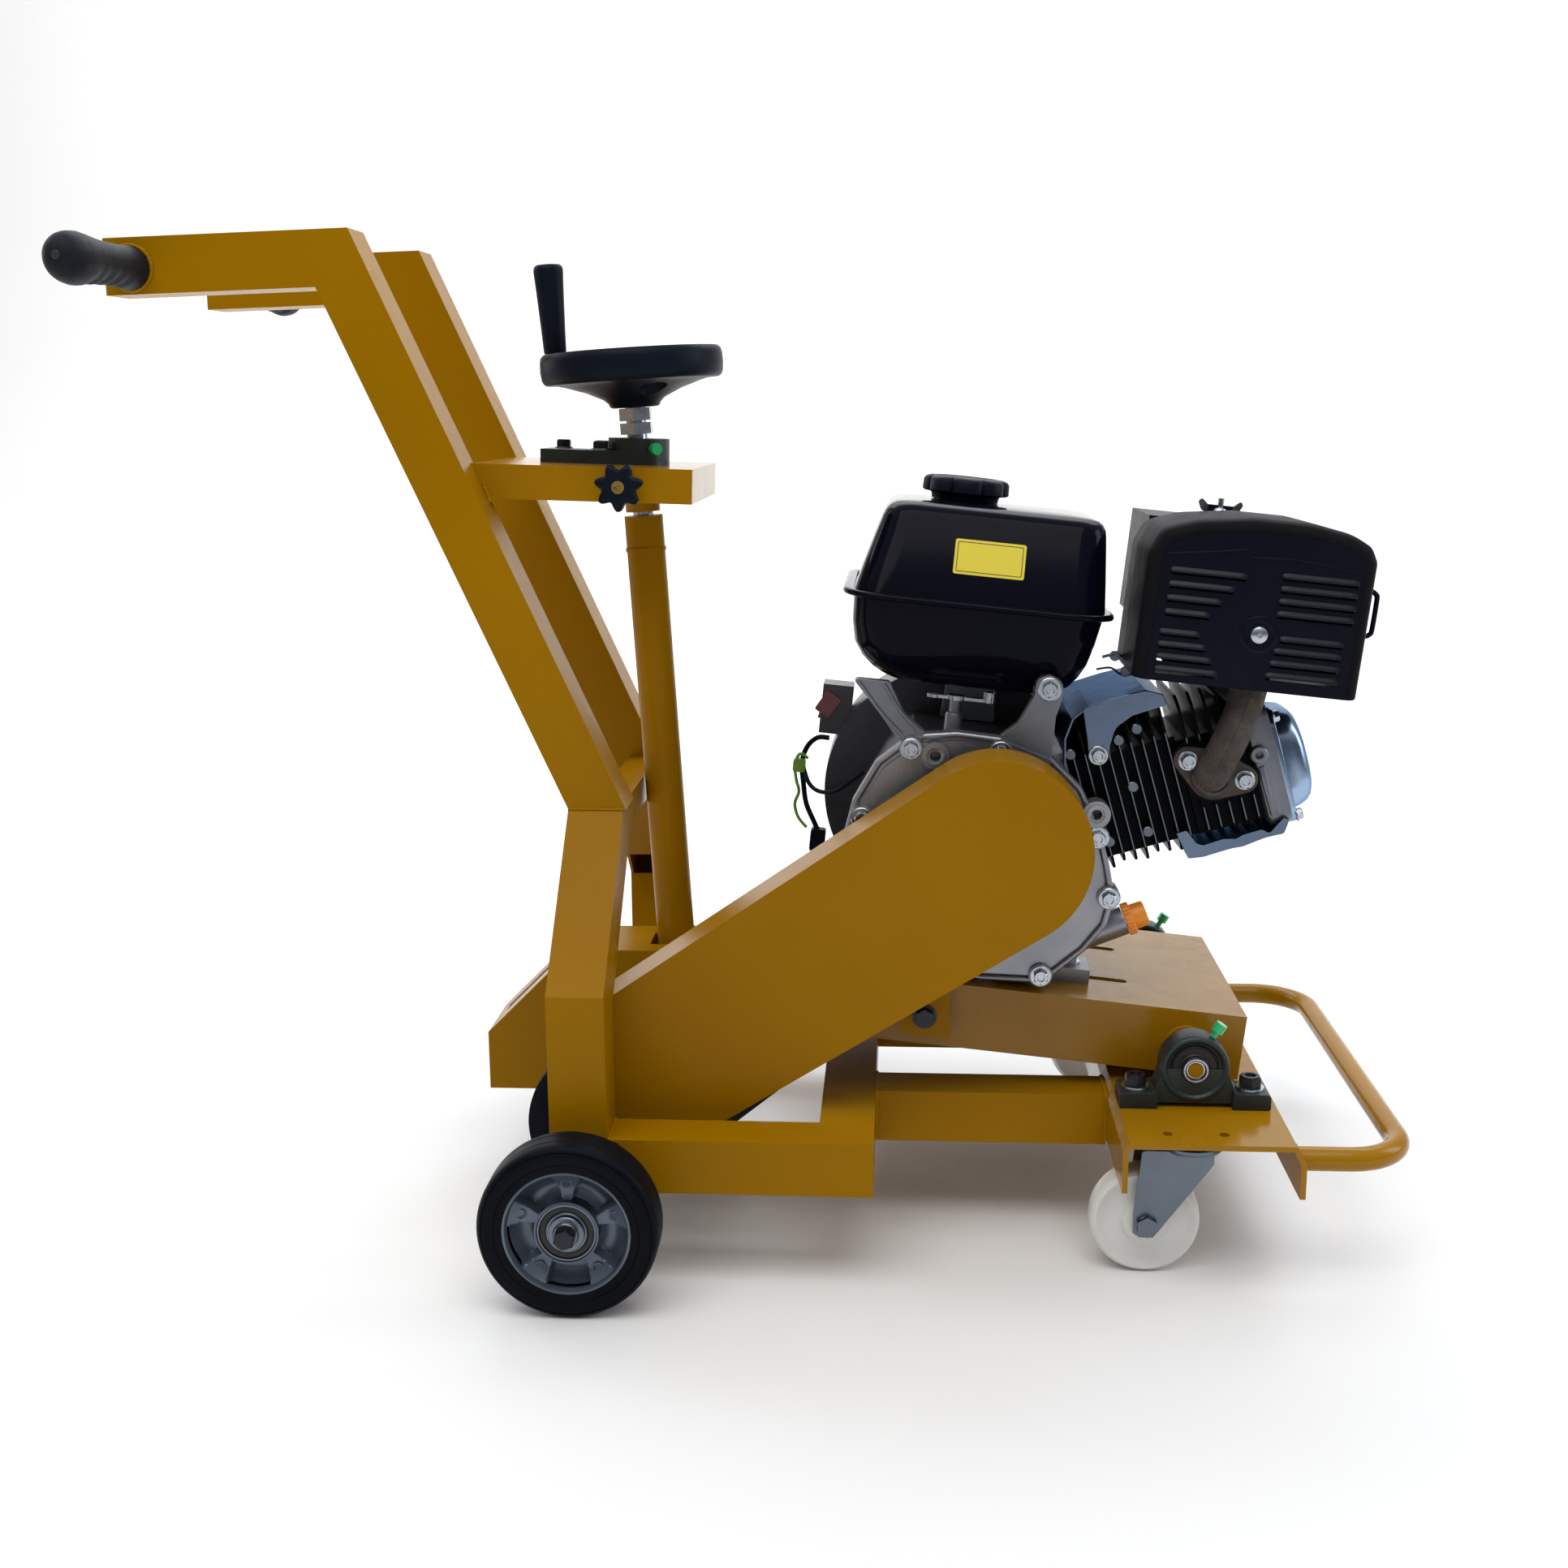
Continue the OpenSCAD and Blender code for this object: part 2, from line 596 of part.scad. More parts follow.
module muffler_guard() {
  color("black") crd() difference() {
    union() {
      xz(-150, -20) guard_profile(0);
      // strap loop at the front
      box([101, -112, 400], [118, -106, 446]);
    }
    box([105, -113, 407], [113, -105, 439]);
    xz(-148, -10) guard_profile(2);
    box([-120, -146, 340], [-60, -10, 351]);
    // louvre slots in four groups
    for (i = [0:3]) {
      box([-78, -151, 446 - i*12], [-12 - i*9, -147, 449 - i*12]);
      box([-78, -151, 390 - i*12], [-42 + i*5, -147, 393 - i*12]);
      box([26, -151, 446 - i*12], [88, -147, 449 - i*12]);
      box([28 - i*4, -151, 390 - i*12], [88, -147, 393 - i*12]);
    }
  }
}
module exhaust_pipe() {
  color("saddlebrown") crd() {
    translate([-5, 0, 256]) cyl_y(17.6, -118, -103);
    translate([-5, -118, 256]) sphere(r = 19);
    translate([-5, -118, 256]) rotate([0, 6, 0]) cylinder(r = 18.6, h = 101);
    barrel_local() box([186, -104, -20], [254, -98.2, 36]);
  }
}
module barrel_local() { translate([crank_x, 0, crank_z]) rotate([0, -22, 0]) children(); }
module air_cleaner() {
  color("black") crd() {
    difference() {
      box([-86, -14, 388], [78, 118, 488]);
      box([-82, -10, 392], [74, 114, 484]);
    }
    // wing nut stud on the lid
    translate([-15, 16, 488]) { cylinder(r = 11, h = 4); cylinder(r = 3, h = 20); }
    translate([-27, 14, 494]) cube([24, 4, 9]);
  }
}
module carburettor() {
  color("gray") crd() {
    box([-14, 52, 300], [30, 96, 352]);
    translate([8, 74, 352]) cylinder(r = 19, h = 36);
    barrel_local() box([196, 46.2, -10], [240, 60, 30]);
    box([-6, 58, 272], [20, 90, 300]);
  }
}
module fan_housing() {
  color("gray") crd() difference() {
    union() {
      translate([-240, 0, 181]) cyl_y(131, 55.2, 140);
      translate([crank_x, 0, crank_z]) cyl_y(92, 140, 172);
      // air duct towards the cylinder
      box([-150, 56, 170], [-60, 110, 300]);
      // starter rope guide
      translate([-280, 0, 262]) cyl_y(12, 138, 168);
      // switch plate
      box([-384, 82, 224], [-352, 118, 276]);
    }
    translate([-240, 0, 181]) cyl_y(126, 58, 136);
    translate([-280, 0, 262]) cyl_y(5, 130, 170);
    translate([crank_x, 0, crank_z]) cyl_y(88, 130, 168);
    translate([crank_x, 0, crank_z]) cyl_y(crank_r + 8, 50, 62);
    box([-146, 60, 174], [-64, 106, 296]);
    box([-200, 66, 184], [-140, 100, 286]);
    box([-386, 91, 232], [-361, 109, 268]);
  }
}
module oil_filler() {
  color("silver") crd() translate([-97, -80, 85]) rotate([0, 62, 0]) difference() {
    translate([0, 0, -14]) cylinder(r = 14, h = 50);
    translate([0, 0, 14]) cylinder(r = 10, h = 30);
  }
}
// black lead and earth lead, clipped to the engine, with their connector
module lead(a, b, r) {
  d = b - a; l = norm(d);
  translate(a) rotate([0, acos(d[2]/l), atan2(d[1], d[0])]) cylinder(r = r, h = l);
  for (e = [a, b]) translate(e) sphere(r = r + 0.4);
}
module ignition_wires() {
  p = [[-372, 78, 220], [-392, 82, 212], [-396, 80, 190], [-390, 76, 150], [-376, 74, 126],
    [-362, 72, 118]];
  q = [[-396, 80, 190], [-376, 52, 168], [-352, 30, 184], [-331, 20, 200]];
  color("black") crd() {
    for (i = [0:4]) lead(p[i], p[i + 1], 2.6);
    for (i = [0:2]) lead(q[i], q[i + 1], 2.2);
    translate([-402, 74, 182]) cube([12, 12, 14]);
    translate([-380, 68, 100]) cube([14, 12, 22]);
  }
}

// ---- lift ----
module lift_screw() {
  color("silver") lift() {
    translate([0, 0, 160]) cylinder(r = screw_r, h = 455);
    translate([0, 0, 538]) hex(30, 11);
    translate([0, 0, 551]) hex(30, 12);
    // spindle of the crank handle
    translate([-74, 0, 596]) cylinder(r = 5, h = 88);
  }
}
module handwheel() {
  color("black") lift() difference() {
    union() {
      rotate_extrude($fn = 96) polygon([[10, 563.5], [23, 563.5], [26, 568], [50, 580], [74, 586],
        [86, 589], [hw_r - 0.8, 593], [hw_r, 602], [hw_r - 1, 614], [hw_r - 6, 618], [79, 616],
        [74, 604], [48, 598], [26, 598], [22, 606], [10, 606]]);
      rotate([0, 0, 0]) translate([-74, 0, 600]) cylinder(r = 12, h = 18);
    }
    translate([0, 0, 500]) cylinder(r = screw_r, h = 200);
    translate([-74, 0, 596]) cylinder(r = 5, h = 40);
    for (a = [60, 180, 300]) rotate([0, 0, a]) translate([49, 0, 560]) cylinder(r = a == 180 ? 9 : 14, h = 60);
  }
}
module crank_handle() {
  color("black") lift() translate([-74, 0, 0]) {
    difference() {
      translate([0, 0, 618.6]) rotate_extrude() polygon([[0, 0], [11, 0], [14.5, 78], [13, 83], [9, 85], [0, 85]]);
      translate([0, 0, 617]) cylinder(r = 5 + run, h = 70);
    }
  }
}
module lift_tube() {
  color("goldenrod") lift() difference() {
    union() {
      cylinder(r = lift_r, h = 459);
      translate([0, 0, 424]) cylinder(r = lift_r + 1, h = 4);
    }
    translate([0, 0, -1]) cylinder(r = 14, h = 430);
    translate([0, 0, 400]) cylinder(r = screw_r + run, h = 80);
    // slotted hole for the pin
    translate([-2, 0, 12]) hull_slot();
  }
}
module hull_slot() {
  for (x = [-3, 3]) translate([x, 0, 0]) cyl_y(7, -30, 30);
  box([-3, -30, -7], [3, 30, 7]);
}

// ---- drive ----
module vee(r, n0, n1, bore) {
  // two-groove pulley turned about z, from n0 to n1
  m = (n0 + n1)/2;
  difference() {
    rotate_extrude($fn = 72) polygon([[bore, n0], [r, n0], [r, m - 15], [r - 9.5, m - 12.5],
      [r - 9.5, m - 3.5], [r, m - 1], [r, m + 1], [r - 9.5, m + 3.5], [r - 9.5, m + 12.5],
      [r, m + 15], [r, n1], [bore, n1]]);
    children();
  }
}
module crankshaft() {
  color("dimgray") crd() translate([crank_x, 0, crank_z]) rotate([-90, 0, 0]) {
    translate([0, 0, -203]) cylinder(r = crank_r, h = 203 + 70);
    translate([0, 0, 70]) cylinder(r = 70, h = 40);
    translate([0, 0, -80]) cylinder(r = 40, h = 14);
    translate([0, 0, -20]) cylinder(r = 40, h = 14);
    vee(small_r, -191.5, -153.5, crank_r);
  }
}
module blade_arbor() {
  color("silver") crd() arb() {
    cyl_y(arb_r, -196, -4);
    cyl_y(36, -16, -4);
    // blade seat
    cyl_y(12.65, -4, 24);
  }
}
module driven_pulley() {
  color("black") crd() arb() rotate([-90, 0, 0])
    vee(big_r, -191.5, -153.5, arb_r)
      for (a = [0:72:359]) rotate([0, 0, a]) translate([43, 0, -200]) cylinder(r = 13, h = 60);
}

// ---- wheels ----
module rear_tyre() {
  saw() translate([0, wheel_y - wheel_w, wheel_r]) rotate([-90, 0, 0]) rotate_extrude($fn = 120)
    polygon([[56, 1], [72, 0], [78, 3], [wheel_r, 9], [wheel_r, wheel_w - 9], [78, wheel_w - 3],
      [72, wheel_w], [56, wheel_w - 1]]);
}
module rear_tyre_left() { color("black") rear_tyre(); }
module rear_tyre_right() { color("black") mirror([0, 1, 0]) rear_tyre(); }
module rear_hub() {
  saw() translate([0, wheel_y - wheel_w, wheel_r]) rotate([-90, 0, 0]) {
    difference() {
      rotate_extrude($fn = 96) polygon([[10 + run, 2], [27, 2], [29, 14], [48, 12], [50, 3], [56, 3],
        [56, wheel_w - 3], [50, wheel_w - 3], [46, 28], [29, 24], [27, wheel_w - 4], [10 + run, wheel_w - 4]]);
      for (a = [0:72:359]) rotate([0, 0, a + 18]) translate([38.5, 0, -1]) cylinder(r = 7.5, h = 60);
    }
    for (a = [0:72:359]) rotate([0, 0, a + 54]) box([26, -4, 10], [52, 4, 34]);
  }
}
module rear_hub_left() { color("lightgray") rear_hub(); }
module rear_hub_right() { color("lightgray") mirror([0, 1, 0]) rear_hub(); }

module caster_fork() {
  zt = chan_top - chan_t - 14.5;
  saw() translate([cast_x, cast_y, 0]) {
    difference() {
      union() {
        translate([0, 0, zt - 6]) cylinder(r = 28, h = 6);
        box([-44, -22, zt - 6], [0, 22, zt - 2]);
        // fork legs
        for (s = [-1, 1]) xz(s > 0 ? 19 : -22, s > 0 ? 22 : -19)
          polygon([[-52, 42], [-46, 38], [-34, 38], [-28, 46], [18, zt - 14], [18, zt - 3], [-46, zt - 3], [-52, 60]]);
      }
      translate([-cast_trail, 0, cast_r]) cyl_y(6, -40, 40);
    }
    cylinder_king(zt);
    // axle bolt with its nuts
    translate([-cast_trail, 0, cast_r]) {
      cyl_y(6, -24, 24);
      for (s = [-1, 1]) translate([0, s > 0 ? 22 : -22, 0]) rotate([s > 0 ? -90 : 90, 0, 0]) hex(17, 6);
    }
  }
}
module cylinder_king(zt) { translate([0, 0, zt - 8]) cylinder(r = 7, h = 21); }
module caster_fork_left() { color("silver") caster_fork(); }
module caster_fork_right() { color("silver") mirror([0, 1, 0]) caster_fork(); }
module caster_wheel() {
  saw() translate([cast_x - cast_trail, cast_y, cast_r]) rotate([90, 0, 0]) translate([0, 0, -16])
    rotate_extrude($fn = 96) polygon([[6 + run, 0], [20, 0], [22, 5], [38, 5], [42, 0], [46, 0],
      [cast_r, 6], [cast_r, 26], [46, 32], [42, 32], [38, 27], [22, 27], [20, 32], [6 + run, 32]]);
}
module caster_wheel_left() { color("white") caster_wheel(); }
module caster_wheel_right() { color("white") mirror([0, 1, 0]) caster_wheel(); }

// ---- controls ----
// seven-lobed clamping knob on a threaded stud
module lock_knob() {
  color("black") saw() translate([25.5, -113.5, 707]) rotate([90, 0, 0]) {
    cylinder(r = 9, h = 8);
    difference() {
      translate([0, 0, 5]) cylinder(r = 22, h = 14);
      for (a = [0:360/7:359]) rotate([0, 0, a]) translate([24, 0, 0]) cylinder(r = 6, h = 40);
    }
    translate([0, 0, -100]) cylinder(r = 4, h = 102);
  }
}
module stop_switch() {
  color("firebrick") crd() translate([-368, 100, 250]) difference() {
    union() {
      cyl_y(2.5, -8.6, 8.6);
      xz(-8.5, 8.5) polygon([[-1, -15], [-19, -12], [-16, 0], [-15, 13], [-1, 15]]);
    }
  }
}
module fuel_cap() {
  color("black") crd() translate([-263, 20, 0]) difference() {
    union() {
      translate([0, 0, 482]) cylinder(r = 33, h = 10);
      translate([0, 0, 489]) cylinder(r = 40, h = 15);
      for (a = [0:45:359]) rotate([0, 0, a]) translate([36, 0, 489]) cylinder(r = 6.5, h = 15);
    }
    translate([0, 0, 470]) cylinder(r = 27.4, h = 19);
  }
}
module oil_cap() {
  color("darkorange") crd() translate([-97, -80, 85]) rotate([0, 62, 0]) {
    translate([0, 0, 36.4]) cylinder(r = 15.5, h = 8);
    translate([0, 0, 44]) cylinder(r = 12, h = 12);
    translate([0, 0, 50]) hex(22, 8);
    translate([0, 0, 17]) cylinder(r = 10 - run, h = 20);
  }
}
module throttle_lever() {
  color("silver") crd() translate([-252, -62, 297]) difference() {
    union() {
      cylinder(r = 9, h = 4);
      box([-22, -4, 0], [32, 4, 3]);
      translate([32, 0, 0]) cylinder(r = 6, h = 10);
      translate([-22, 0, 0]) cylinder(r = 6, h = 3);
    }
    translate([0, 0, -5]) cylinder(r = 3, h = 20);
  }
}
module starter_grip() {
  color("black") crd() translate([-280, 168.4, 262]) {
    cyl_y(9, 0, 12);
    translate([0, 20, -26]) cylinder(r = 10, h = 52);
    cyl_y(4, -6, 20);
  }
}

side_frame_right();
side_frame_left();
base_frame();
post_crossbar();
front_channel();
front_bumper();
lift_shelf();
handle_grips();
pivot_blocks();
frame_bolts();
grease_caps();
screw_bearing();
wheel_axles();
caster_mounts();
cradle_platform();
pivot_shaft();
belt_guard();
guard_bolts();
blade_hood();
arbor_housing();
drive_belts();
crankcase();
crankcase_cover();
engine_bolts();
cylinder_block();
cylinder_head();
valve_cover();
cooling_shroud();
fuel_tank();
caution_label();
tank_brackets();
muffler();
muffler_guard();
exhaust_pipe();
air_cleaner();
carburettor();
fan_housing();
oil_filler();
ignition_wires();
lift_screw();
handwheel();
crank_handle();
lift_tube();
crankshaft();
blade_arbor();
driven_pulley();
rear_tyre_right();
rear_hub_right();
rear_tyre_left();
rear_hub_left();
caster_fork_right();
caster_wheel_right();
caster_fork_left();
caster_wheel_left();
lock_knob();
stop_switch();
fuel_cap();
oil_cap();
throttle_lever();
starter_grip();
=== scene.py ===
from math import cos, degrees, pi, radians, sin, sqrt, tan
import bpy
import bmesh
from mathutils import Euler, Matrix, Vector, noise


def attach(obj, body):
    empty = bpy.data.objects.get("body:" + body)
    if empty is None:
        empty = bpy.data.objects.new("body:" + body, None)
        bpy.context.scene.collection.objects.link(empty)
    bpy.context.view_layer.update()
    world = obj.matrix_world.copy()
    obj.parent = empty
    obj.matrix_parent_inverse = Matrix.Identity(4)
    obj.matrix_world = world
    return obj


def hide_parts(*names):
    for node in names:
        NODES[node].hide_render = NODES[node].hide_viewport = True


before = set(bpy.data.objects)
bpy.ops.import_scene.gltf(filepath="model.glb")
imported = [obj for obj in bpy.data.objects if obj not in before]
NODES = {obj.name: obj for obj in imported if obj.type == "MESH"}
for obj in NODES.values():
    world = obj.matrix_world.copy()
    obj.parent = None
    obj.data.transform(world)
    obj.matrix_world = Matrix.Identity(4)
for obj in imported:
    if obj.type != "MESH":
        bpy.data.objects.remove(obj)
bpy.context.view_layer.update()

# ---------------------------------------------------------------- places (design values, mm)
MID_X = 162.5                # middle of the machine's box, from the rear wheel axis
PIVOT = (558.0, 180.0)       # x and z of the cradle's pivot
BLOCK_Y = 185                # middle of a pillow block
TILT = 6.0                   # the cradle's slope, in degrees
CRANK = (-205.0, 173.0)      # crankshaft, in the cradle's frame
BARREL_SLOPE = -22
LIFT_FOOT = (57, 216)
LIFT_LEAN = 3.3
CASTER = (511, 229, 50)      # caster wheel
CASTER_STEM_X = 551
SHELF_BOLTS = ((-103, 10), (-100, -20), (-141, 10))
BLOCK_BOLT_X = (-52.5, 52.5)
COVER_BOLTS = ((-291, 256), (-144, 51), (-90, 134), (-108, 191), (-330, 185), (-285, 62), (-208, 262))    # x and z
GUARD_SCREW = (6.5, 398)
FUEL_CAP = (-263, 20, 0)
HANDLE_X = -74               # crank handle, from the handwheel's axis


def at(x, y, z):
    return Matrix.Translation((x, y, z))


def turn(angle, axis):
    return Matrix.Rotation(radians(angle), 4, axis)


def saw(x=0.0, y=0.0, z=0.0):
    """Row-frame matrix of a local frame in mm at a point measured from the rear wheel axis."""
    return Matrix.Scale(0.001, 4) @ at(x - MID_X, y, z)


def crd(x=0.0, y=0.0, z=0.0):
    """Local frame of the tilted cradle, origin on its pivot."""
    return saw(PIVOT[0], 0, PIVOT[1]) @ turn(TILT, "Y") @ at(x, y, z)


def barrel(x=0.0, y=0.0, z=0.0):
    return crd(CRANK[0], 0, CRANK[1]) @ turn(BARREL_SLOPE, "Y") @ at(x, y, z)


def lift(x=0.0, y=0.0, z=0.0):
    return saw(LIFT_FOOT[0], 0, LIFT_FOOT[1]) @ turn(-LIFT_LEAN, "Y") @ at(x, y, z)


ALONG_Y = turn(-90, "X")     # local z points along +Y
TO_CAM = turn(90, "X")       # local z points along -Y
ALONG_X = turn(90, "Y")      # local z points along +X
MIRROR = Matrix.Scale(-1, 4, (0, 1, 0))
I4 = Matrix.Identity(4)
SIDES = (("left", I4), ("right", MIRROR))


# ---------------------------------------------------------------- materials
MAT, SLOTS = {}, {}


def noise_node(nt, coords, scale, detail, roughness=0.5):
    n = nt.nodes.new("ShaderNodeTexNoise")
    n.inputs["Scale"].default_value = scale
    n.inputs["Detail"].default_value = detail
    n.inputs["Roughness"].default_value = roughness
    nt.links.new(coords, n.inputs["Vector"])
    return n.outputs["Fac"]


def ramp_node(nt, factor, low, high, colours=None):
    n = nt.nodes.new("ShaderNodeValToRGB")
    for e, pos, c in zip(n.color_ramp.elements, (low, high), colours or ((0, 0, 0), (1, 1, 1))):
        e.position = pos
        e.color = (*c, 1)
    nt.links.new(factor, n.inputs["Fac"])
    return n.outputs["Color"]


def material(name, base, tint, rough, rough_var=0.08, metal=0.0, spec=0.5, mix=0.5, scale=6.0, relief=(0.15, 60.0),
             fine=None, dist=0.001, coat=None, edge=None, spots=None):
    """A procedural surface: two colours mixed by noise, a varied roughness, coarse and fine relief (strength, scale),
    a clear coat (weight, roughness), a metal's edge tint, and scattered spots (colour, low, high, scale) for dirt or wear."""
    m = bpy.data.materials.new(name)
    m.use_nodes = True
    nt = m.node_tree
    bsdf = nt.nodes["Principled BSDF"]
    bsdf.inputs["Metallic"].default_value = metal
    bsdf.inputs["Specular IOR Level"].default_value = spec
    bsdf.inputs["Coat Weight"].default_value, bsdf.inputs["Coat Roughness"].default_value = coat or (0.0, 0.06)
    if edge:
        bsdf.inputs["Specular Tint"].default_value = (*edge, 1)
    where = nt.nodes.new("ShaderNodeTexCoord").outputs["Object"]
    mixed = tuple(b * (1 - mix) + t * mix for b, t in zip(base, tint))
    colour = ramp_node(nt, noise_node(nt, where, scale, 4), 0.32, 0.72, (mixed, base))
    if spots:
        dirt, low, high, size = spots
        over = nt.nodes.new("ShaderNodeMixRGB")
        over.inputs["Color2"].default_value = (*dirt, 1)
        nt.links.new(ramp_node(nt, noise_node(nt, where, size, 8, 0.65), low, high), over.inputs["Fac"])
        nt.links.new(colour, over.inputs["Color1"])
        colour = over.outputs["Color"]
    nt.links.new(colour, bsdf.inputs["Base Color"])
    vary = nt.nodes.new("ShaderNodeMapRange")
    vary.inputs["To Min"].default_value = max(0.02, rough - rough_var)
    vary.inputs["To Max"].default_value = min(1.0, rough + rough_var)
    nt.links.new(noise_node(nt, where, scale * 5, 5), vary.inputs["Value"])
    nt.links.new(vary.outputs["Result"], bsdf.inputs["Roughness"])
    last = None
    for (strength, size), detail, depth in ((relief, 3, dist), (fine or (0, 0), 2, dist * 0.5)):
        if strength > 0:
            b = nt.nodes.new("ShaderNodeBump")
            b.inputs["Strength"].default_value = strength
            b.inputs["Distance"].default_value = depth
            nt.links.new(noise_node(nt, where, size, detail), b.inputs["Height"])
            if last:
                nt.links.new(last, b.inputs["Normal"])
            last = b.outputs["Normal"]
    if last:
        nt.links.new(last, bsdf.inputs["Normal"])
        if coat:
            nt.links.new(last, bsdf.inputs["Coat Normal"])
    return m


def look(key, slot, *args, **kw):
    """A material of the machine, with the CAD slot that it stands for."""
    MAT[key] = material(*args, **kw)
    SLOTS[key] = slot


look("yellow", "frame_yellow", "paint_yellow", (0.352, 0.167, 0.0006), (0.268, 0.12, 0.0005), 0.26, rough_var=0.06,
     spec=0.06, mix=0.6, scale=3.0, relief=(0.16, 24), fine=(0.06, 300), dist=0.0014)
look("green", "housing_green", "housing_green", (0.009, 0.021, 0.022), (0.005, 0.011, 0.015), 0.45, mix=0.8, scale=20,
     relief=(0.5, 240), coat=(0.08, 0.3), spots=((0.022, 0.038, 0.036), 0.6, 0.75, 50))
# the blue tint in these black colours is painted sky reflection on plain black
look("black_plastic", "black_plastic", "black_plastic", (0.005, 0.008, 0.016), (0.003, 0.0045, 0.009), 0.4, spec=0.08,
     scale=14, relief=(0.12, 500), fine=(0.1, 1800))
look("grip", "black_plastic", "grip_rubber", (0.008, 0.01, 0.015), (0.014, 0.016, 0.021), 0.55, rough_var=0.12,
     spec=0.12, scale=30, relief=(0.25, 700), fine=(0.3, 2500), spots=((0.03, 0.032, 0.037), 0.66, 0.8, 14.0))
look("black_gloss", "black_gloss", "tank_black", (0.0022, 0.0028, 0.0085), (0.002, 0.002, 0.005), 0.1, rough_var=0.03,
     spec=0.06, scale=4, relief=(0.05, 14), dist=0.002)
look("black_satin", "black_satin", "guard_black", (0.006, 0.007, 0.015), (0.003, 0.004, 0.009), 0.26, rough_var=0.06,
     spec=0.07, scale=10, relief=(0.05, 90), fine=(0.05, 1500))
# the guard's flank: the satin black with its sheen turned off and a colour that paints the dim reflection of the
# surroundings
look("guard_side", "black_satin", "guard_side", (0.0115, 0.0105, 0.0125), (0.006, 0.006, 0.008), 0.45, spec=0.02,
     mix=0.8, scale=9, relief=(0.05, 90))
look("zinc", "zinc", "zinc_plate", (0.5, 0.54, 0.6), (0.38, 0.4, 0.43), 0.28, rough_var=0.12, metal=1.0, scale=25,
     relief=(0.08, 220), fine=(0.06, 1500), spots=((0.28, 0.27, 0.26), 0.62, 0.8, 30))
look("fork_zinc", "zinc", "fork_zinc", (0.17, 0.2, 0.24), (0.12, 0.14, 0.17), 0.34, metal=1.0, mix=0.7, scale=12,
     relief=(0.06, 160), fine=(0.04, 1200))
look("zinc_dull", "zinc", "zinc_sheet", (0.145, 0.19, 0.275), (0.1, 0.135, 0.2), 0.22, metal=1.0, mix=0.6, scale=14,
     relief=(0.05, 40), fine=(0.05, 900), edge=(0.22, 0.27, 0.36))
look("dark_steel", "dark_steel", "dark_steel", (0.03, 0.031, 0.036), (0.012, 0.012, 0.015), 0.34, rough_var=0.12,
     metal=0.7, scale=30, relief=(0.2, 260))
look("cast", "cast_alu", "cast_aluminium", (0.36, 0.37, 0.4), (0.22, 0.23, 0.255), 0.4, rough_var=0.1, metal=0.9,
     mix=0.7, scale=12, relief=(0.4, 330), fine=(0.3, 1500), dist=0.0006, spots=((0.12, 0.115, 0.11), 0.66, 0.84, 18))
# darker copy of the cast aluminium: its colour is painted shade, used for the tank arms, their ribs and stay, and the
# head face
look("cast_dark", "cast_alu", "bracket_casting", (0.24, 0.25, 0.28), (0.15, 0.16, 0.18), 0.42, rough_var=0.1,
     metal=0.85, mix=0.7, scale=14, relief=(0.35, 330), fine=(0.25, 1500), dist=0.0006)
look("wheel_alu", "alu_wheel", "wheel_aluminium", (0.135, 0.165, 0.215), (0.085, 0.105, 0.14), 0.34, metal=0.55,
     mix=0.8, scale=22, relief=(0.12, 240), fine=(0.1, 1100), dist=0.0006,
     spots=((0.06, 0.065, 0.08), 0.66, 0.85, 24))
look("black_alu", "black_alu", "black_fins", (0.004, 0.0045, 0.006), (0.002, 0.002, 0.003), 0.36, spec=0.05, scale=20,
     relief=(0.08, 200))
# plain chrome whose blue colour and blue edge tint are painted sky reflection
look("chrome", "chrome_cover", "bright_cover", (0.33, 0.44, 0.61), (0.22, 0.31, 0.44), 0.22, rough_var=0.07,
     metal=1.0, scale=9, relief=(0.06, 60), edge=(0.45, 0.52, 0.64))
look("rust", "rusty_pipe", "scaled_pipe", (0.12, 0.098, 0.085), (0.035, 0.028, 0.026), 0.75, rough_var=0.15,
     metal=0.25, mix=0.9, scale=34, relief=(0.9, 420), fine=(0.5, 1600), dist=0.0012,
     spots=((0.16, 0.1, 0.06), 0.55, 0.8, 60))
# the blue tint in the tyre's black is painted sky reflection
look("rubber", "tyre_rubber", "tyre_rubber", (0.0026, 0.0034, 0.006), (0.004, 0.0055, 0.009), 0.44, rough_var=0.1,
     spec=0.06, mix=0.8, scale=18, relief=(0.22, 300), fine=(0.15, 1500),
     spots=((0.01, 0.012, 0.016), 0.64, 0.88, 30))
look("belt", "belt_rubber", "belt_rubber", (0.01, 0.01, 0.011), (0.02, 0.02, 0.02), 0.7, scale=30, relief=(0.3, 600))
look("nylon", "white_nylon", "white_nylon", (0.8, 0.79, 0.76), (0.66, 0.65, 0.61), 0.34, mix=0.6, scale=9,
     relief=(0.08, 120), spots=((0.3, 0.28, 0.24), 0.66, 0.85, 22))
look("green_cap", "green_plastic", "green_cap", (0.015, 0.55, 0.17), (0.005, 0.35, 0.1), 0.25, scale=60,
     relief=(0.05, 300), coat=(0.4, 0.06))
look("label", "label_yellow", "label_film", (0.74, 0.6, 0.015), (0.66, 0.52, 0.012), 0.35, scale=12,
     relief=(0.04, 200), coat=(0.3, 0.06))
look("label_ink", "label_yellow", "label_ink", (0.02, 0.018, 0.01), (0.03, 0.028, 0.015), 0.4, scale=50,
     relief=(0.04, 400))
look("grey", "grey_plastic", "grey_housing", (0.034, 0.038, 0.05), (0.02, 0.023, 0.031), 0.36, metal=0.15, mix=0.7,
     scale=10, relief=(0.2, 500), fine=(0.15, 1800), coat=(0.15, 0.3))
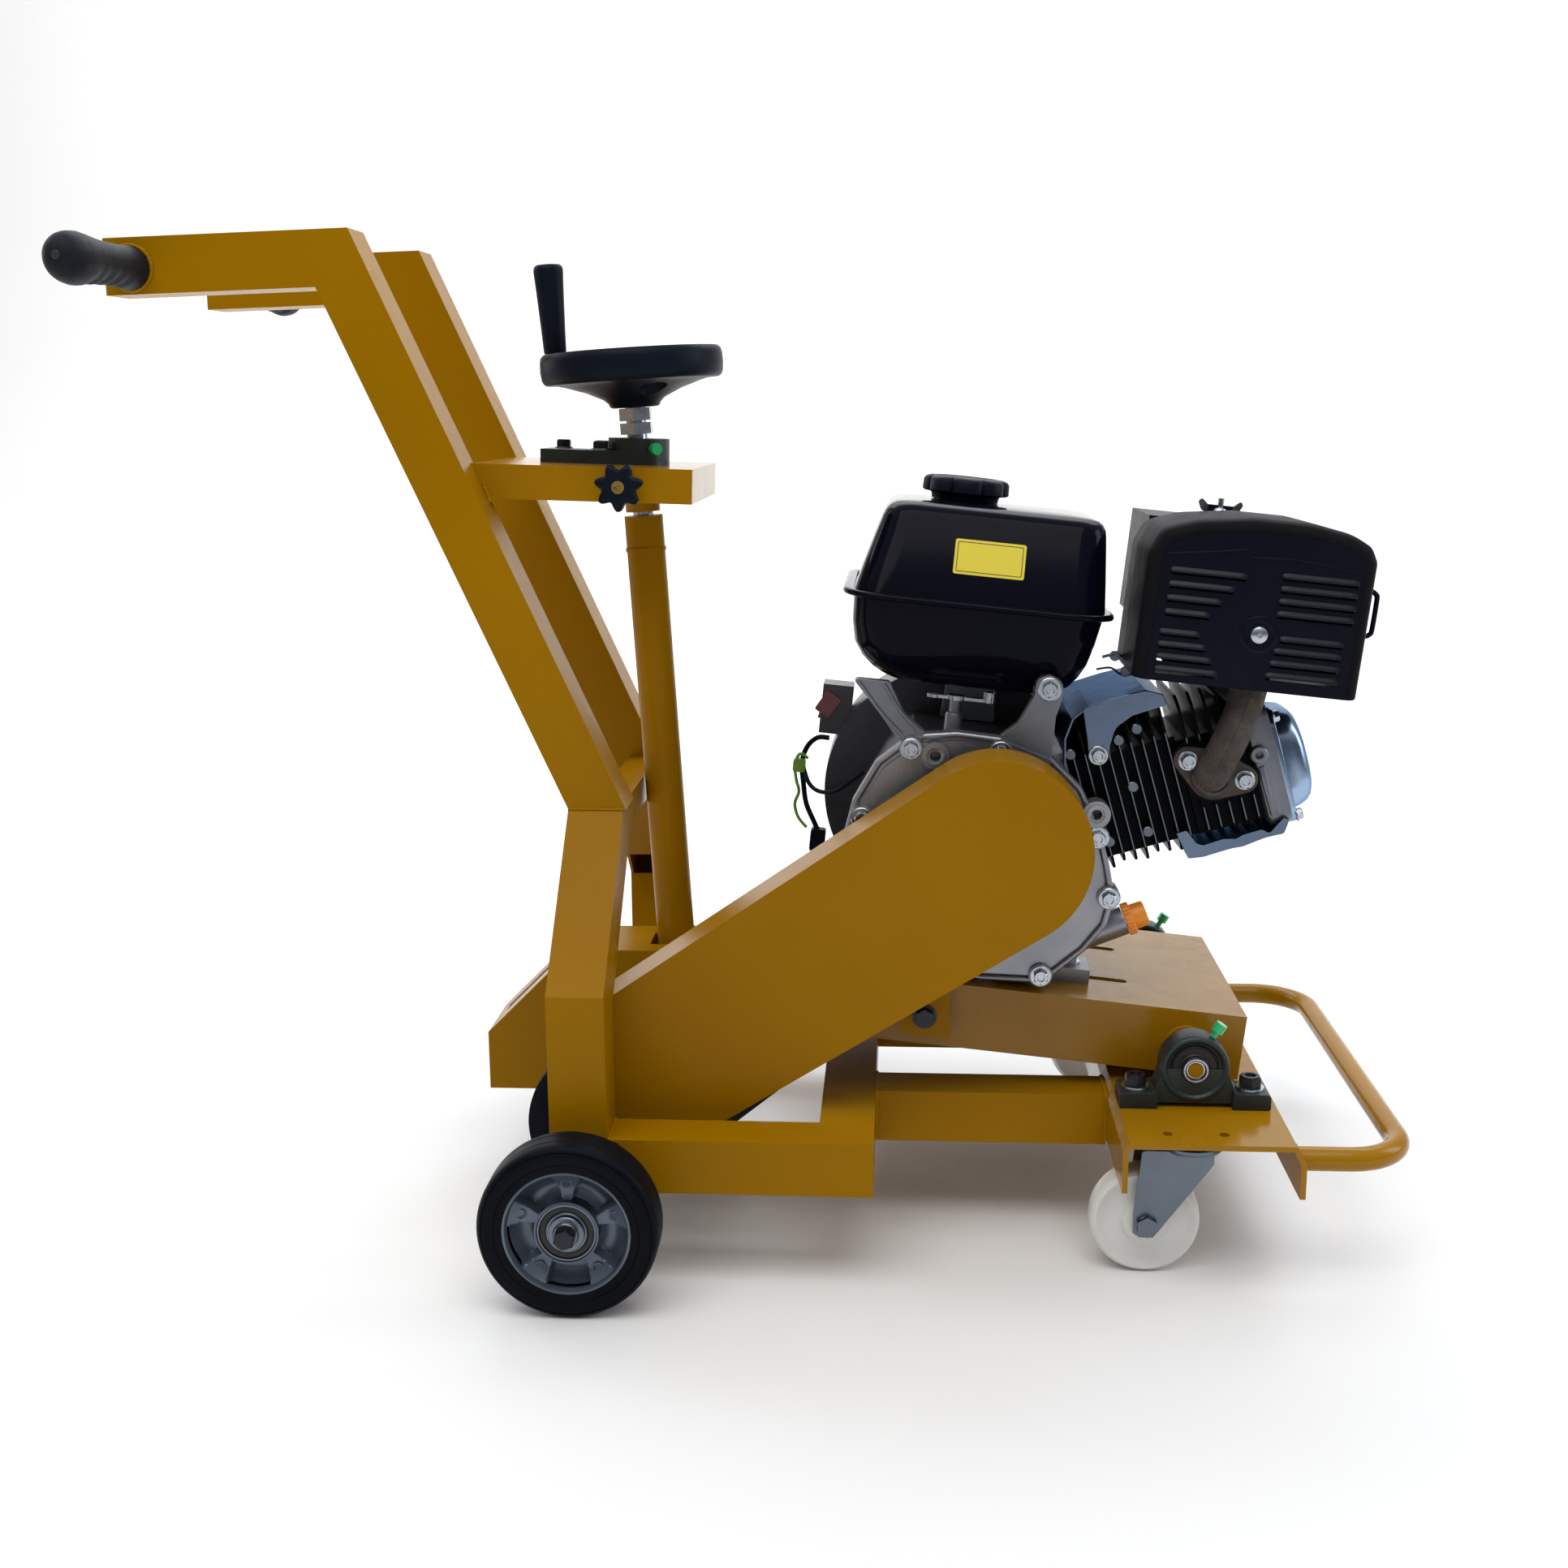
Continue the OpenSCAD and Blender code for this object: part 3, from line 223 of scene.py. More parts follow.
look("plate", "frame_yellow", "paint_platform", (0.345, 0.165, 0.002), (0.245, 0.115, 0.002), 0.24, rough_var=0.1,
     spec=0.32, mix=0.8, scale=9.0, relief=(0.3, 38), fine=(0.12, 260), dist=0.002)
look("glossy", "frame_yellow", "paint_glossy", (0.352, 0.167, 0.0006), (0.268, 0.12, 0.0005), 0.16, rough_var=0.06,
     spec=0.22, mix=0.6, scale=3.0, relief=(0.24, 30), fine=(0.08, 300), dist=0.0016)
# the blue tint in the louvres' black is painted sky reflection
look("louvre", "black_satin", "guard_louvre", (0.006, 0.008, 0.015), (0.004, 0.006, 0.011), 0.28, spec=0.2, scale=10,
     relief=(0.05, 90))
look("red", "red_plastic", "red_switch", (0.16, 0.008, 0.014), (0.1, 0.004, 0.008), 0.35, scale=30,
     relief=(0.06, 500), coat=(0.3, 0.06))
look("orange", "orange_plastic", "orange_cap", (0.9, 0.3, 0.02), (0.74, 0.21, 0.012), 0.38, scale=30,
     relief=(0.1, 500))
look("brass", "zinc", "brass_insert", (0.55, 0.38, 0.1), (0.4, 0.27, 0.07), 0.3, metal=1.0, scale=40,
     relief=(0.1, 300))
look("seal", "dark_steel", "bearing_seal", (0.035, 0.034, 0.033), (0.015, 0.015, 0.015), 0.5, metal=0.4, scale=40,
     relief=(0.15, 500))
look("steel", "zinc", "ground_steel", (0.52, 0.52, 0.53), (0.35, 0.34, 0.33), 0.22, rough_var=0.1, metal=1.0,
     scale=30, relief=(0.06, 400))
look("wire_green", "green_plastic", "wire_green", (0.08, 0.3, 0.04), (0.25, 0.34, 0.03), 0.4, mix=0.9, scale=120,
     relief=(0.05, 400))
CAD_MATS = {
    "yellow": ["side_frame_right", "side_frame_left", "base_frame", "post_crossbar", "belt_guard", "blade_hood", "lift_tube"],
    "green": ["pivot_blocks", "screw_bearing", "arbor_housing"],
    "black_plastic": ["handle_grips", "air_cleaner", "ignition_wires", "crank_handle", "handwheel", "lock_knob", "fuel_cap",
                      "starter_grip"],
    "black_gloss": ["fuel_tank"],
    "black_satin": ["muffler_guard", "driven_pulley"],
    "zinc": ["wheel_axles", "engine_bolts", "lift_screw", "blade_arbor", "throttle_lever"],
    "fork_zinc": ["caster_mounts", "caster_fork_right", "caster_fork_left"],
    "plate": ["cradle_platform"],
    "glossy": ["front_channel", "front_bumper", "lift_shelf"],
    "steel": ["pivot_shaft"],
    "zinc_dull": ["cooling_shroud"],
    "dark_steel": ["frame_bolts", "guard_bolts", "muffler", "crankshaft"],
    "cast": ["crankcase", "crankcase_cover", "tank_brackets", "carburettor", "oil_filler"],
    "wheel_alu": ["rear_hub_right", "rear_hub_left"],
    "black_alu": ["cylinder_block", "cylinder_head"],
    "chrome": ["valve_cover"],
    "rust": ["exhaust_pipe"],
    "rubber": ["rear_tyre_right", "rear_tyre_left"],
    "belt": ["drive_belts"],
    "nylon": ["caster_wheel_right", "caster_wheel_left"],
    "green_cap": ["grease_caps"],
    "label": ["caution_label"],
    "grey": ["fan_housing"],
    "red": ["stop_switch"],
    "orange": ["oil_cap"],
}
BEVEL = {"side_frame_right": 5, "side_frame_left": 5, "base_frame": 4.5, "post_crossbar": 3, "front_channel": 1.6,
         "lift_shelf": 2.2, "cradle_platform": 2.4, "belt_guard": 1.1, "blade_hood": 1.4, "crankcase": 4, "crankcase_cover": 2.5,
         "cylinder_block": 0.8, "cylinder_head": 1.0, "valve_cover": 4, "cooling_shroud": 0.6, "fan_housing": 4,
         "tank_brackets": 1.5, "air_cleaner": 6, "muffler": 3, "carburettor": 2, "screw_bearing": 2, "oil_filler": 1,
         "arbor_housing": 1.5, "driven_pulley": 0.8}


def soften(o, width, segments, angle):
    """Rounds an object's sharp edges in the render."""
    b = o.modifiers.new("edge", "BEVEL")
    b.width = width / 1000
    b.segments = segments
    b.limit_method = "ANGLE"
    b.angle_limit = radians(angle)
    b.harden_normals = True


for key, names in CAD_MATS.items():
    for n in names:
        o = NODES[n]
        o.data.materials.clear()
        o.data.materials.append(MAT[key])
        for p in o.data.polygons:
            p.use_smooth = True
        w = BEVEL.get(n, 0.5)
        soften(o, w, 3 if w > 1 else 2, 32)


# ---------------------------------------------------------------- outlines
def circle(r, n):
    return [(r * cos(2 * pi * i / n), r * sin(2 * pi * i / n)) for i in range(n)]


def wavy(z, n, radius, start=0.0):
    """Closed loop at height z whose radius is a function of the angle."""
    return [(radius(t) * cos(t + start), radius(t) * sin(t + start), z) for t in (2 * pi * i / n for i in range(n))]


def arc(cx, cz, r, a0, a1, n):
    return [(cx + r * cos(t), cz + r * sin(t)) for t in (radians(a0 + (a1 - a0) * i / n) for i in range(n + 1))]


def rrect(x0, x1, y0, y1, r, n=6):
    """Closed outline of a rounded rectangle."""
    out = []
    for cx, cy, a0 in ((x1 - r, y1 - r, 0), (x0 + r, y1 - r, 90), (x0 + r, y0 + r, 180), (x1 - r, y0 + r, 270)):
        out += arc(cx, cy, r, a0, a0 + 90, n)
    return out


def level(z, *box):
    """Rounded rectangle lying at height z."""
    return [(x, y, z) for x, y in rrect(*box)]


def round_poly(pts, r, n=5):
    """Rounds the corners of a closed outline."""
    out = []
    m = len(pts)
    for i in range(m):
        p, a, b = Vector(pts[i]), Vector(pts[i - 1]), Vector(pts[(i + 1) % m])
        u, v = (a - p), (b - p)
        ang = u.angle(v)
        rr = r[i] if isinstance(r, (list, tuple)) else r
        t = min(rr / tan(ang / 2), u.length * 0.48, v.length * 0.48)
        if rr <= 0 or ang > radians(175):
            out.append(tuple(p))
            continue
        s, e = p + u.normalized() * t, p + v.normalized() * t
        for k in range(n + 1):
            f = k / n
            out.append(tuple(s * (1 - f) ** 2 + p * 2 * f * (1 - f) + e * f * f))
    return out


def winding(poly):
    return 1 if sum(a[0] * b[1] - b[0] * a[1] for a, b in zip(poly, poly[1:] + poly[:1])) > 0 else -1


def inset(poly, d):
    """Moves a rounded outline inwards by d."""
    n = len(poly)
    sgn = winding(poly)
    out = []
    for i in range(n):
        a, b, c = Vector(poly[i - 1]), Vector(poly[i]), Vector(poly[(i + 1) % n])
        t1, t2 = (b - a).normalized(), (c - b).normalized()
        nn = (Vector((-t1.y, t1.x)) + Vector((-t2.y, t2.x))) * sgn
        k = max(0.35, nn.length / 2)
        out.append(tuple(b + nn.normalized() * (d / k)))
    return out


def shrink(poly, ds):
    """Moves each edge of a sharp outline inwards by its own distance."""
    n = len(poly)
    sgn = winding(poly)
    lines = []
    for i in range(n):
        a, b = Vector(poly[i]), Vector(poly[(i + 1) % n])
        t = (b - a).normalized()
        lines.append((a + Vector((-t.y, t.x)) * sgn * ds[i], t))
    out = []
    for i in range(n):
        (p, t), (q, u) = lines[i - 1], lines[i]
        k = t.x * u.y - t.y * u.x
        w = q - p
        out.append(tuple(p + t * ((w.x * u.y - w.y * u.x) / k)))
    return out


def hull2(circles, n=28):
    """Convex outline round circles [(x, y, r)]."""
    pts = sorted({(round(x + dx, 4), round(y + dy, 4)) for x, y, r in circles for dx, dy in circle(r, n)})

    def half(ps):
        h = []
        for p in ps:
            while len(h) > 1 and (h[-1][0] - h[-2][0]) * (p[1] - h[-2][1]) - (h[-1][1] - h[-2][1]) * (p[0] - h[-2][0]) <= 0:
                h.pop()
            h.append(p)
        return h[:-1]
    return half(pts) + half(pts[::-1])


# ---------------------------------------------------------------- solids
def skin(bm, rings, closed=False, wrap=True):
    """Faces between neighbouring rings of vertices; a ring of one vertex is a tip, and rows that don't wrap are open."""
    for a, b in zip(rings, rings[1:] + (rings[:1] if closed else [])):
        n = max(len(a), len(b))
        for i in range(n if wrap else n - 1):
            j = (i + 1) % n
            if len(a) == 1 and len(b) == 1:
                continue
            if len(a) == 1:
                bm.faces.new((a[0], b[i], b[j]))
            elif len(b) == 1:
                bm.faces.new((a[i], a[j], b[0]))
            else:
                bm.faces.new((a[i], a[j], b[j], b[i]))


def loft(bm, rings, cap0=True, cap1=True, M=I4):
    """Skins closed loops of 3-D points with equal counts."""
    vs = [[bm.verts.new(M @ Vector(p)) for p in ring] for ring in rings]
    skin(bm, vs)
    if cap0:
        bm.faces.new(vs[0][::-1])
    if cap1:
        bm.faces.new(vs[-1])


def lathe(bm, prof, segs=64, M=I4, closed=False):
    """Turns [(r, z)] about z."""
    skin(bm, [[bm.verts.new(M @ Vector((x, y, z))) for x, y in (circle(r, segs) if r > 1e-6 else [(0, 0)])]
              for r, z in prof], closed)


def prism(bm, poly, y0, y1, M=I4):
    """Extrudes an XZ outline from y0 to y1."""
    loft(bm, [[(x, y, z) for x, z in poly] for y in (y0, y1)], M=M)


def block(bm, lo, hi, M=I4):
    prism(bm, [(lo[0], lo[2]), (hi[0], lo[2]), (hi[0], hi[2]), (lo[0], hi[2])], lo[1], hi[1], M)


def sweep(bm, pts, r, segs=16, M=I4, smooth=0):
    """A tube of radius r (number or list) along points, which smooth puts on a curve."""
    P = [Vector(p) for p in pts]
    if smooth:
        Q = []
        n = len(P)
        for i in range(n - 1):
            p0, p1, p2, p3 = P[max(i - 1, 0)], P[i], P[i + 1], P[min(i + 2, n - 1)]
            for k in range(smooth):
                t = k / smooth
                Q.append(0.5 * ((2 * p1) + (-p0 + p2) * t + (2 * p0 - 5 * p1 + 4 * p2 - p3) * t * t
                                + (-p0 + 3 * p1 - 3 * p2 + p3) * t ** 3))
        P = Q + [P[-1]]
    n = len(P)
    up = None
    rings = []
    for i in range(n):
        d = (P[min(i + 1, n - 1)] - P[max(i - 1, 0)]).normalized()
        up = up or d.orthogonal().normalized()
        up = (up - d * up.dot(d)).normalized()
        w = d.cross(up)
        rr = r[min(int(i * len(r) / n), len(r) - 1)] if isinstance(r, (list, tuple)) else r
        rings.append([P[i] + (up * c + w * s) * rr for c, s in circle(1, segs)])
    loft(bm, rings, M=M)


def hexhead(bm, af, h, M, washer=0.0, wt=1.6, dimple=True):
    """Flanged hexagon head with a chamfered, dimpled top, along local z."""
    if washer:
        lathe(bm, [(0, 0), (washer, 0), (washer, wt * 0.7), (washer * 0.94, wt), (0, wt)], 40, M)
    z0 = wt if washer else 0
    n = 48

    def hexagon(z, limit):
        return wavy(z, n, lambda a: min(af / 2 / cos((a + pi / 6) % (pi / 3) - pi / 6), limit))

    dish = af * 0.3
    floor = z0 + h - (0.12 * af if dimple else 0)
    loft(bm, [hexagon(z0, af), hexagon(z0 + h * 0.80, af), hexagon(z0 + h, af / 2 * 0.95),
              [(x, y, z0 + h) for x, y in circle(dish, n)], [(x, y, floor) for x, y in circle(dish * 0.85, n)]], M=M)


# ---------------------------------------------------------------- pieces
def piece(name, bm, mat, body, M=None, replaces=(), smooth=35, bevel=0, segs=3):
    """An object from a mesh in the frame M, riding on a body; edges sharper than smooth stay sharp."""
    bmesh.ops.recalc_face_normals(bm, faces=bm.faces)
    bm.normal_update()
    for e in bm.edges:
        if len(e.link_faces) == 2 and e.calc_face_angle(0) > radians(smooth):
            e.smooth = False
    for f in bm.faces:
        f.smooth = True
    me = bpy.data.meshes.new(name)
    bm.to_mesh(me)
    bm.free()
    if M is not None:
        me.transform(M)
        if M.determinant() < 0:
            me.flip_normals()
    o = bpy.data.objects.new(name, me)
    bpy.context.scene.collection.objects.link(o)
    me.materials.append(MAT[mat])
    if bevel:
        soften(o, bevel, segs, 30)
    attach(o, body)
    if replaces:
        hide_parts(*replaces)
    return o


def thicken(o, thickness, offset):
    s = o.modifiers.new("thick", "SOLIDIFY")
    s.thickness = thickness
    s.offset = offset


def carve(o, cutter):
    """Cuts the cutter's shape out of o and keeps the result as o's own mesh."""
    me = bpy.data.meshes.new("cutter")
    bmesh.ops.recalc_face_normals(cutter, faces=cutter.faces)
    cutter.to_mesh(me)
    cutter.free()
    c = bpy.data.objects.new("cutter", me)
    bpy.context.scene.collection.objects.link(c)
    c.matrix_world = o.matrix_world
    m = o.modifiers.new("cut", "BOOLEAN")
    m.object = c
    m.solver = "EXACT"
    bpy.context.view_layer.update()
    got = bpy.data.meshes.new_from_object(o.evaluated_get(bpy.context.evaluated_depsgraph_get()))
    o.modifiers.clear()
    o.data = got
    bpy.data.objects.remove(c)


def weld(name, pts, body, M, r=2.3, closed=False):
    """A bead of weld metal along a line, with the ripples of its pool."""
    P = [Vector(p) for p in pts]
    if closed:
        P.append(P[0])
    Q = []
    for a, b in zip(P, P[1:]):
        k = max(2, int((b - a).length / 1.6))
        Q += [a.lerp(b, i / k) for i in range(k)]
    Q.append(P[-1])
    rad = [r * (0.82 + 0.16 * sin(i * 1.9) + 0.22 * noise.noise(q * 0.11)) for i, q in enumerate(Q)]
    bm = bmesh.new()
    sweep(bm, Q, rad, 8)
    piece(name, bm, "yellow", body, M, smooth=70)


def ring_pts(r, z, M):
    return [M @ Vector((x, y, z)) for x, y in circle(r, 48)]


def upright(x, *box):
    """Rounded rectangle standing across the machine at x."""
    return [(x, y, z) for y, z in rrect(*box)]


def lobes(rows, n, shape, start=0.0):
    """Loops (z, radius, depth) whose radius swells by depth times a function of the angle."""
    return [wavy(z, n, lambda t: r + depth * shape(t), start) for z, r, depth in rows]


# ---------------------------------------------------------------- fuel tank
def tank():
    C = crd()
    bm = bmesh.new()
    low = [(313, -312, -168, -84, 92, 22), (313.8, -318, -162, -89, 98, 26), (317, -326, -155, -94, 104, 29),
           (323, -336, -147, -99, 108, 31), (333, -347, -140, -105, 113, 32), (346, -355, -134, -110, 118, 33),
           (366, -359, -129, -113, 121, 34), (391, -360, -125, -115.6, 123, 34)]
    loft(bm, [level(*s) for s in low], cap1=False)
    piece("tank_lower_shell", bm, "black_gloss", "cradle", C, smooth=60, replaces=("fuel_tank",))
    bm = bmesh.new()
    seam = [(390.4, 10), (390.0, 4), (390.8, 1), (393, 0), (395.4, 1), (396.2, 4), (395.8, 10)]
    loft(bm, [level(z, -371 + d, -115 - d, -124 + d, 131 - d, 42 - d) for z, d in seam], False, False)
    piece("tank_seam", bm, "black_gloss", "cradle", C, smooth=60)
    bm = bmesh.new()
    up = [(395, -360, -124, -115.6, 123, 32), (402, -358.6, -124.4, -113, 120.5, 32), (420, -354, -125.6, -105.6, 115, 31),
          (450, -345.5, -128, -92.8, 104, 29), (465, -341, -129.4, -86.2, 98.6, 27), (471, -338.6, -130.6, -83.2, 96.4, 26),
          (475.6, -335, -133, -79.6, 93.4, 24), (478.8, -330, -137, -74.4, 89, 21), (480.6, -321, -145, -66, 80, 17),
          (481.6, -304, -160, -52, 64, 12), (482.2, -270, -195, -20, 32, 8)]
    loft(bm, [level(*s) for s in up], cap0=False)
    piece("tank_upper_shell", bm, "black_gloss", "cradle", C, smooth=60)
    bm = bmesh.new()
    lathe(bm, [(31, 480.5), (31, 484), (29.5, 486), (27, 487.8), (25, 487.8), (24.6, 481)], 64, crd(*FUEL_CAP))
    piece("tank_neck", bm, "black_gloss", "cradle", smooth=50)
    # lobed cap
    bm = bmesh.new()
    cap = ((488.3, 34.0, 0), (489.2, 38.5, 2.2), (490.6, 39.8, 2.8), (500.5, 39.4, 2.8), (503, 38.0, 2.4), (504.6, 35.0, 1.4),
           (505.0, 31.0, 0), (504.2, 29.5, 0), (503.4, 24.0, 0))
    loft(bm, lobes(cap, 160, lambda t: abs(cos(4 * t)) ** 0.6 * 1.6 - 0.6), cap0=False)
    lathe(bm, [(34, 488.4), (33.2, 486.0), (32.6, 482.6), (31.8, 482.6), (31.8, 488)], 80)
    piece("fuel_cap_body", bm, "black_plastic", "fuel_cap", crd(*FUEL_CAP), smooth=38, replaces=("fuel_cap",))
    # plain label with a border
    L = crd(-238, -98.2, 436) @ turn(-22.3, "X")
    bm = bmesh.new()
    prism(bm, rrect(-33, 33, -17, 17, 2.2, 4), -0.9, -0.1, L)
    piece("caution_label_plate", bm, "label", "cradle", replaces=("caution_label",))
    bm = bmesh.new()
    border = (rrect(-30.6, 30.6, -14.6, 14.6, 1.6, 4), rrect(-29.9, 29.9, -13.9, 13.9, 1.2, 4))
    loft(bm, [[(x, -1.0, z) for x, z in line] for line in border], False, False, L)
    piece("caution_label_border", bm, "label_ink", "cradle")


# ---------------------------------------------------------------- muffler guard
def guard():
    C = crd()
    base = [(-99, 348), (-99, 462), (-90, 483), (-59, 493.5), (-10, 500), (40, 500), (78, 494), (96, 485), (103, 472),
            (103, 348)]
    radii = [2, 26, 16, 60, 60, 60, 60, 14, 14, 2]

    def outline(d):
        return round_poly(shrink(base, [d] * 9 + [0]), [max(1.2, r - d) for r in radii], 7)

    bm = bmesh.new()
    walls = ((-20, 0), (-60, 0), (-134, 0), (-140, 0.5), (-144.5, 2.2), (-147.6, 4.6), (-149.4, 7.6), (-150, 11))
    loft(bm, [[(x, y, z) for x, z in outline(d)] for y, d in walls], False, False)
    # the flank takes the copy of the satin black whose colour is painted reflection
    thicken(piece("muffler_guard_shell", bm, "guard_side", "cradle", C, smooth=40, replaces=("muffler_guard",)), 0.0014, 0)
    bm = bmesh.new()
    prism(bm, outline(10.8), -150.2, -148.8)
    plate = piece("muffler_guard_front", bm, "black_satin", "cradle", smooth=40)
    # louvres in four groups: height of the first, pitch along the slope, and the ends of each
    groups = [(446, 13.4, [(-79, -12), (-79, -21), (-79, -31), (-79, -40)]),
              (390, 12, [(-81, -46), (-81, -39), (-81, -32), (-81, -25)]),
              (450, 12, [(20, 88)] * 4),
              (394, 12, [(26, 82), (22, 82), (20, 82), (18, 82)])]
    slots = [(xa, xb, z0 - i * pitch * 0.94) for z0, pitch, spans in groups for i, (xa, xb) in enumerate(spans)]
    cutter = bmesh.new()
    for xa, xb, z in slots:
        prism(cutter, rrect(xa, xb, z - 1.9, z + 1.5, 1.6, 3), -156, -146.0)
    carve(plate, cutter)
    plate.data.transform(C)
    bm = bmesh.new()
    nx, nz, height, depth, end, over = 26, 7, 6.6, 3.0, 6, 2
    for xa, xb, z in slots:
        rows = []
        for v in (j / nz for j in range(nz + 1)):
            row = []
            for i in range(nx + 1):
                x = xa - over + (xb - xa + 2 * over) * i / nx
                e = min(x - xa + over, xb + over - x)
                t = 1 if e > end else sqrt(max(0.0, 1 - ((end - e) / end) ** 2))
                h = depth * t * (cos(v * pi) * 0.5 + 0.5)
                row.append(bm.verts.new((x, -149.7 - h, z + 0.4 + v * height * (0.6 + 0.4 * t))))
            rows.append(row)
        skin(bm, rows, wrap=False)
    thicken(piece("muffler_guard_louvres", bm, "louvre", "cradle", C, smooth=60), 0.0009, -1)
    # crease across the front, dish round the screw
    bm = bmesh.new()
    crease = [(-84, 462), (-40, 468), (-14, 472), (-8, 466), (30, 467.5), (88, 462)]
    sweep(bm, [(x, -149.8, z) for x, z in crease], 1.3, 8, smooth=5)
    lathe(bm, [(18, 0), (16, 1.2), (14, 1.9), (12, 1.2), (10.5, 0.3), (8.5, 0.3), (8, 0)], 48,
          at(GUARD_SCREW[0], -149.7, GUARD_SCREW[1]) @ TO_CAM)
    piece("muffler_guard_pressing", bm, "black_satin", "cradle", C, smooth=60)
    # strap loop at the front edge
    bm = bmesh.new()
    strap = [(100, 402.5), (110, 402.5), (114.6, 405), (116, 410), (116, 437), (114.6, 441.5), (110, 444), (100, 444)]
    sweep(bm, [(x, -109, z) for x, z in strap], 2.4, 12, smooth=4)
    piece("muffler_guard_loop", bm, "black_satin", "cradle", C, smooth=60)


# ---------------------------------------------------------------- exhaust, cylinder, covers
def across(x):
    """Local x points along Y and local y along X, from x."""
    return Matrix(((0, 1, 0, x), (1, 0, 0, 0), (0, 0, 1, 0), (0, 0, 0, 1)))


def exhaust():
    bm = bmesh.new()
    run = [(14, -110, 366), (13, -114, 345), (8, -117.5, 318), (2, -118, 296), (-4, -116, 277), (-8, -111, 262), (-9, -100, 254)]
    sweep(bm, run, 16.4, 32, smooth=8)
    sweep(bm, [(x - 1, y - 16.3, z) for x, y, z in run[:-2]] + [(-10, -125.6, 254)], 0.9, 8, smooth=8)
    lathe(bm, [(16.2, -4), (18.6, -2), (19.2, 0), (18.6, 2), (16.2, 4)], 40,
          at(-8, -104, 255.5) @ Vector((-1, 9, -5)).to_track_quat("Z", "Y").to_matrix().to_4x4())
    piece("exhaust_elbow", bm, "rust", "cradle", crd(), smooth=60, replaces=("exhaust_pipe",))
    bm = bmesh.new()
    prism(bm, hull2([(197, 24, 13), (243, -8, 13), (217, 4, 24)]), -104.2, -98.3)
    piece("exhaust_flange", bm, "rust", "cradle", barrel(), smooth=30, bevel=1.4)


def engine_top():
    B = barrel()
    cyl_x, head_x = [94 + i * 11.0 for i in range(9)], [200 + i * 12.0 for i in range(5)]
    bm = bmesh.new()
    block(bm, (88, -84, -52), (192, 36, 46))
    for i, x in enumerate(cyl_x):
        s = 2.5 * sin(i * 2.1)
        top = (66, 82, 90)[min(i, 2)]
        prism(bm, round_poly([(-99, -50), (-92, -60 - s), (-40, -64 - s), (20, -62), (50, -52), (50, top - 10), (38, top),
                              (-86, top), (-99, top - 8)], 7, 4), 0, 2.8, across(x))
    piece("cylinder_fins", bm, "black_alu", "cradle", B, smooth=30, bevel=0.5, segs=2, replaces=("cylinder_block",))
    bm = bmesh.new()
    block(bm, (192, -88, -52), (280, 40, 42))
    for i, x in enumerate(head_x):
        top = 84 - 10 * max(0, i - 2)
        prism(bm, round_poly([(-96, -50), (-90, -61 + 1.2 * sin(i * 1.7)), (36, -61), (46, -50), (46, top - 8), (36, top),
                              (-84, top), (-96, top - 10)], 6, 4), 0, 3.0, across(x))
    prism(bm, hull2([(197, 24, 15), (243, -8, 15), (217, 4, 27)]), -98.4, -84)
    piece("cylinder_head_fins", bm, "black_alu", "cradle", B, smooth=30, bevel=0.5, segs=2, replaces=("cylinder_head",))
    # bare joint face of the head, with the threaded boss, in the darker copy of cast aluminium whose colour is painted
    # shade
    bm = bmesh.new()
    loft(bm, [upright(x, -98 + d, 44 - d, -62 + d, 56 - d, r) for x, d, r in
              ((256, 5, 10), (258, 1, 12), (260, 0, 12), (277, 0, 12), (279.4, 1, 12))])
    lathe(bm, [(3.4, 96), (3.4, 103.4), (4.4, 104.2), (7.2, 104.2), (8.2, 103.2), (8.8, 96)], 32, at(262, 0, 11) @ TO_CAM)
    sweep(bm, [(262, -97, -2), (262, -98.6, -26), (263, -97, -50)], 3.6, 10, smooth=4)
    piece("head_face", bm, "cast_dark", "cradle", B, smooth=35)
    # bare edges of the fins and machined pads
    bm = bmesh.new()
    for x in cyl_x:
        block(bm, (x + 0.8, -99.5, -48), (x + 1.8, -98.8, 54))
    for x in head_x:
        for z0, z1 in ((-48, -26), (38, 44)):
            block(bm, (x + 0.8, -96.5, z0), (x + 1.8, -95.8, z1))
    for x, z in ((93, 58), (140, 59), (142, 12), (145, -34), (107.5, -34), (159, 65)):
        lathe(bm, [(0, 100.1), (4.4, 100.1), (5.0, 99.6), (5.0, 94), (0, 94)], 24, at(x, 0, z) @ TO_CAM)
    piece("fin_edges", bm, "fork_zinc", "cradle", B, smooth=30)
    # rocker cover, chrome whose blue colour is painted sky reflection
    bm = bmesh.new()
    loft(bm, [upright(x, -86 + d, 38 - d, -68 + d, 46 - d, r) for x, d, r in
              ((279, 0.4, 18), (279.3, 0, 18), (285, 0, 18), (285.6, 0.6, 18), (285.8, 6.5, 22), (287, 8, 26), (297, 9.2, 30),
               (303, 11, 32), (307, 14, 32), (309.8, 19, 30), (311.4, 26, 26), (312.2, 35, 20))])
    piece("rocker_cover", bm, "chrome", "cradle", B, smooth=50, replaces=("valve_cover",))
    bm = bmesh.new()
    for y, z in ((-79, 38), (-79, -60), (30, -60), (30, 38)):
        hexhead(bm, 10, 5, at(285, y, z) @ ALONG_X, washer=7.5, wt=1.4)
    piece("rocker_cover_bolts", bm, "zinc", "cradle", B, smooth=30)


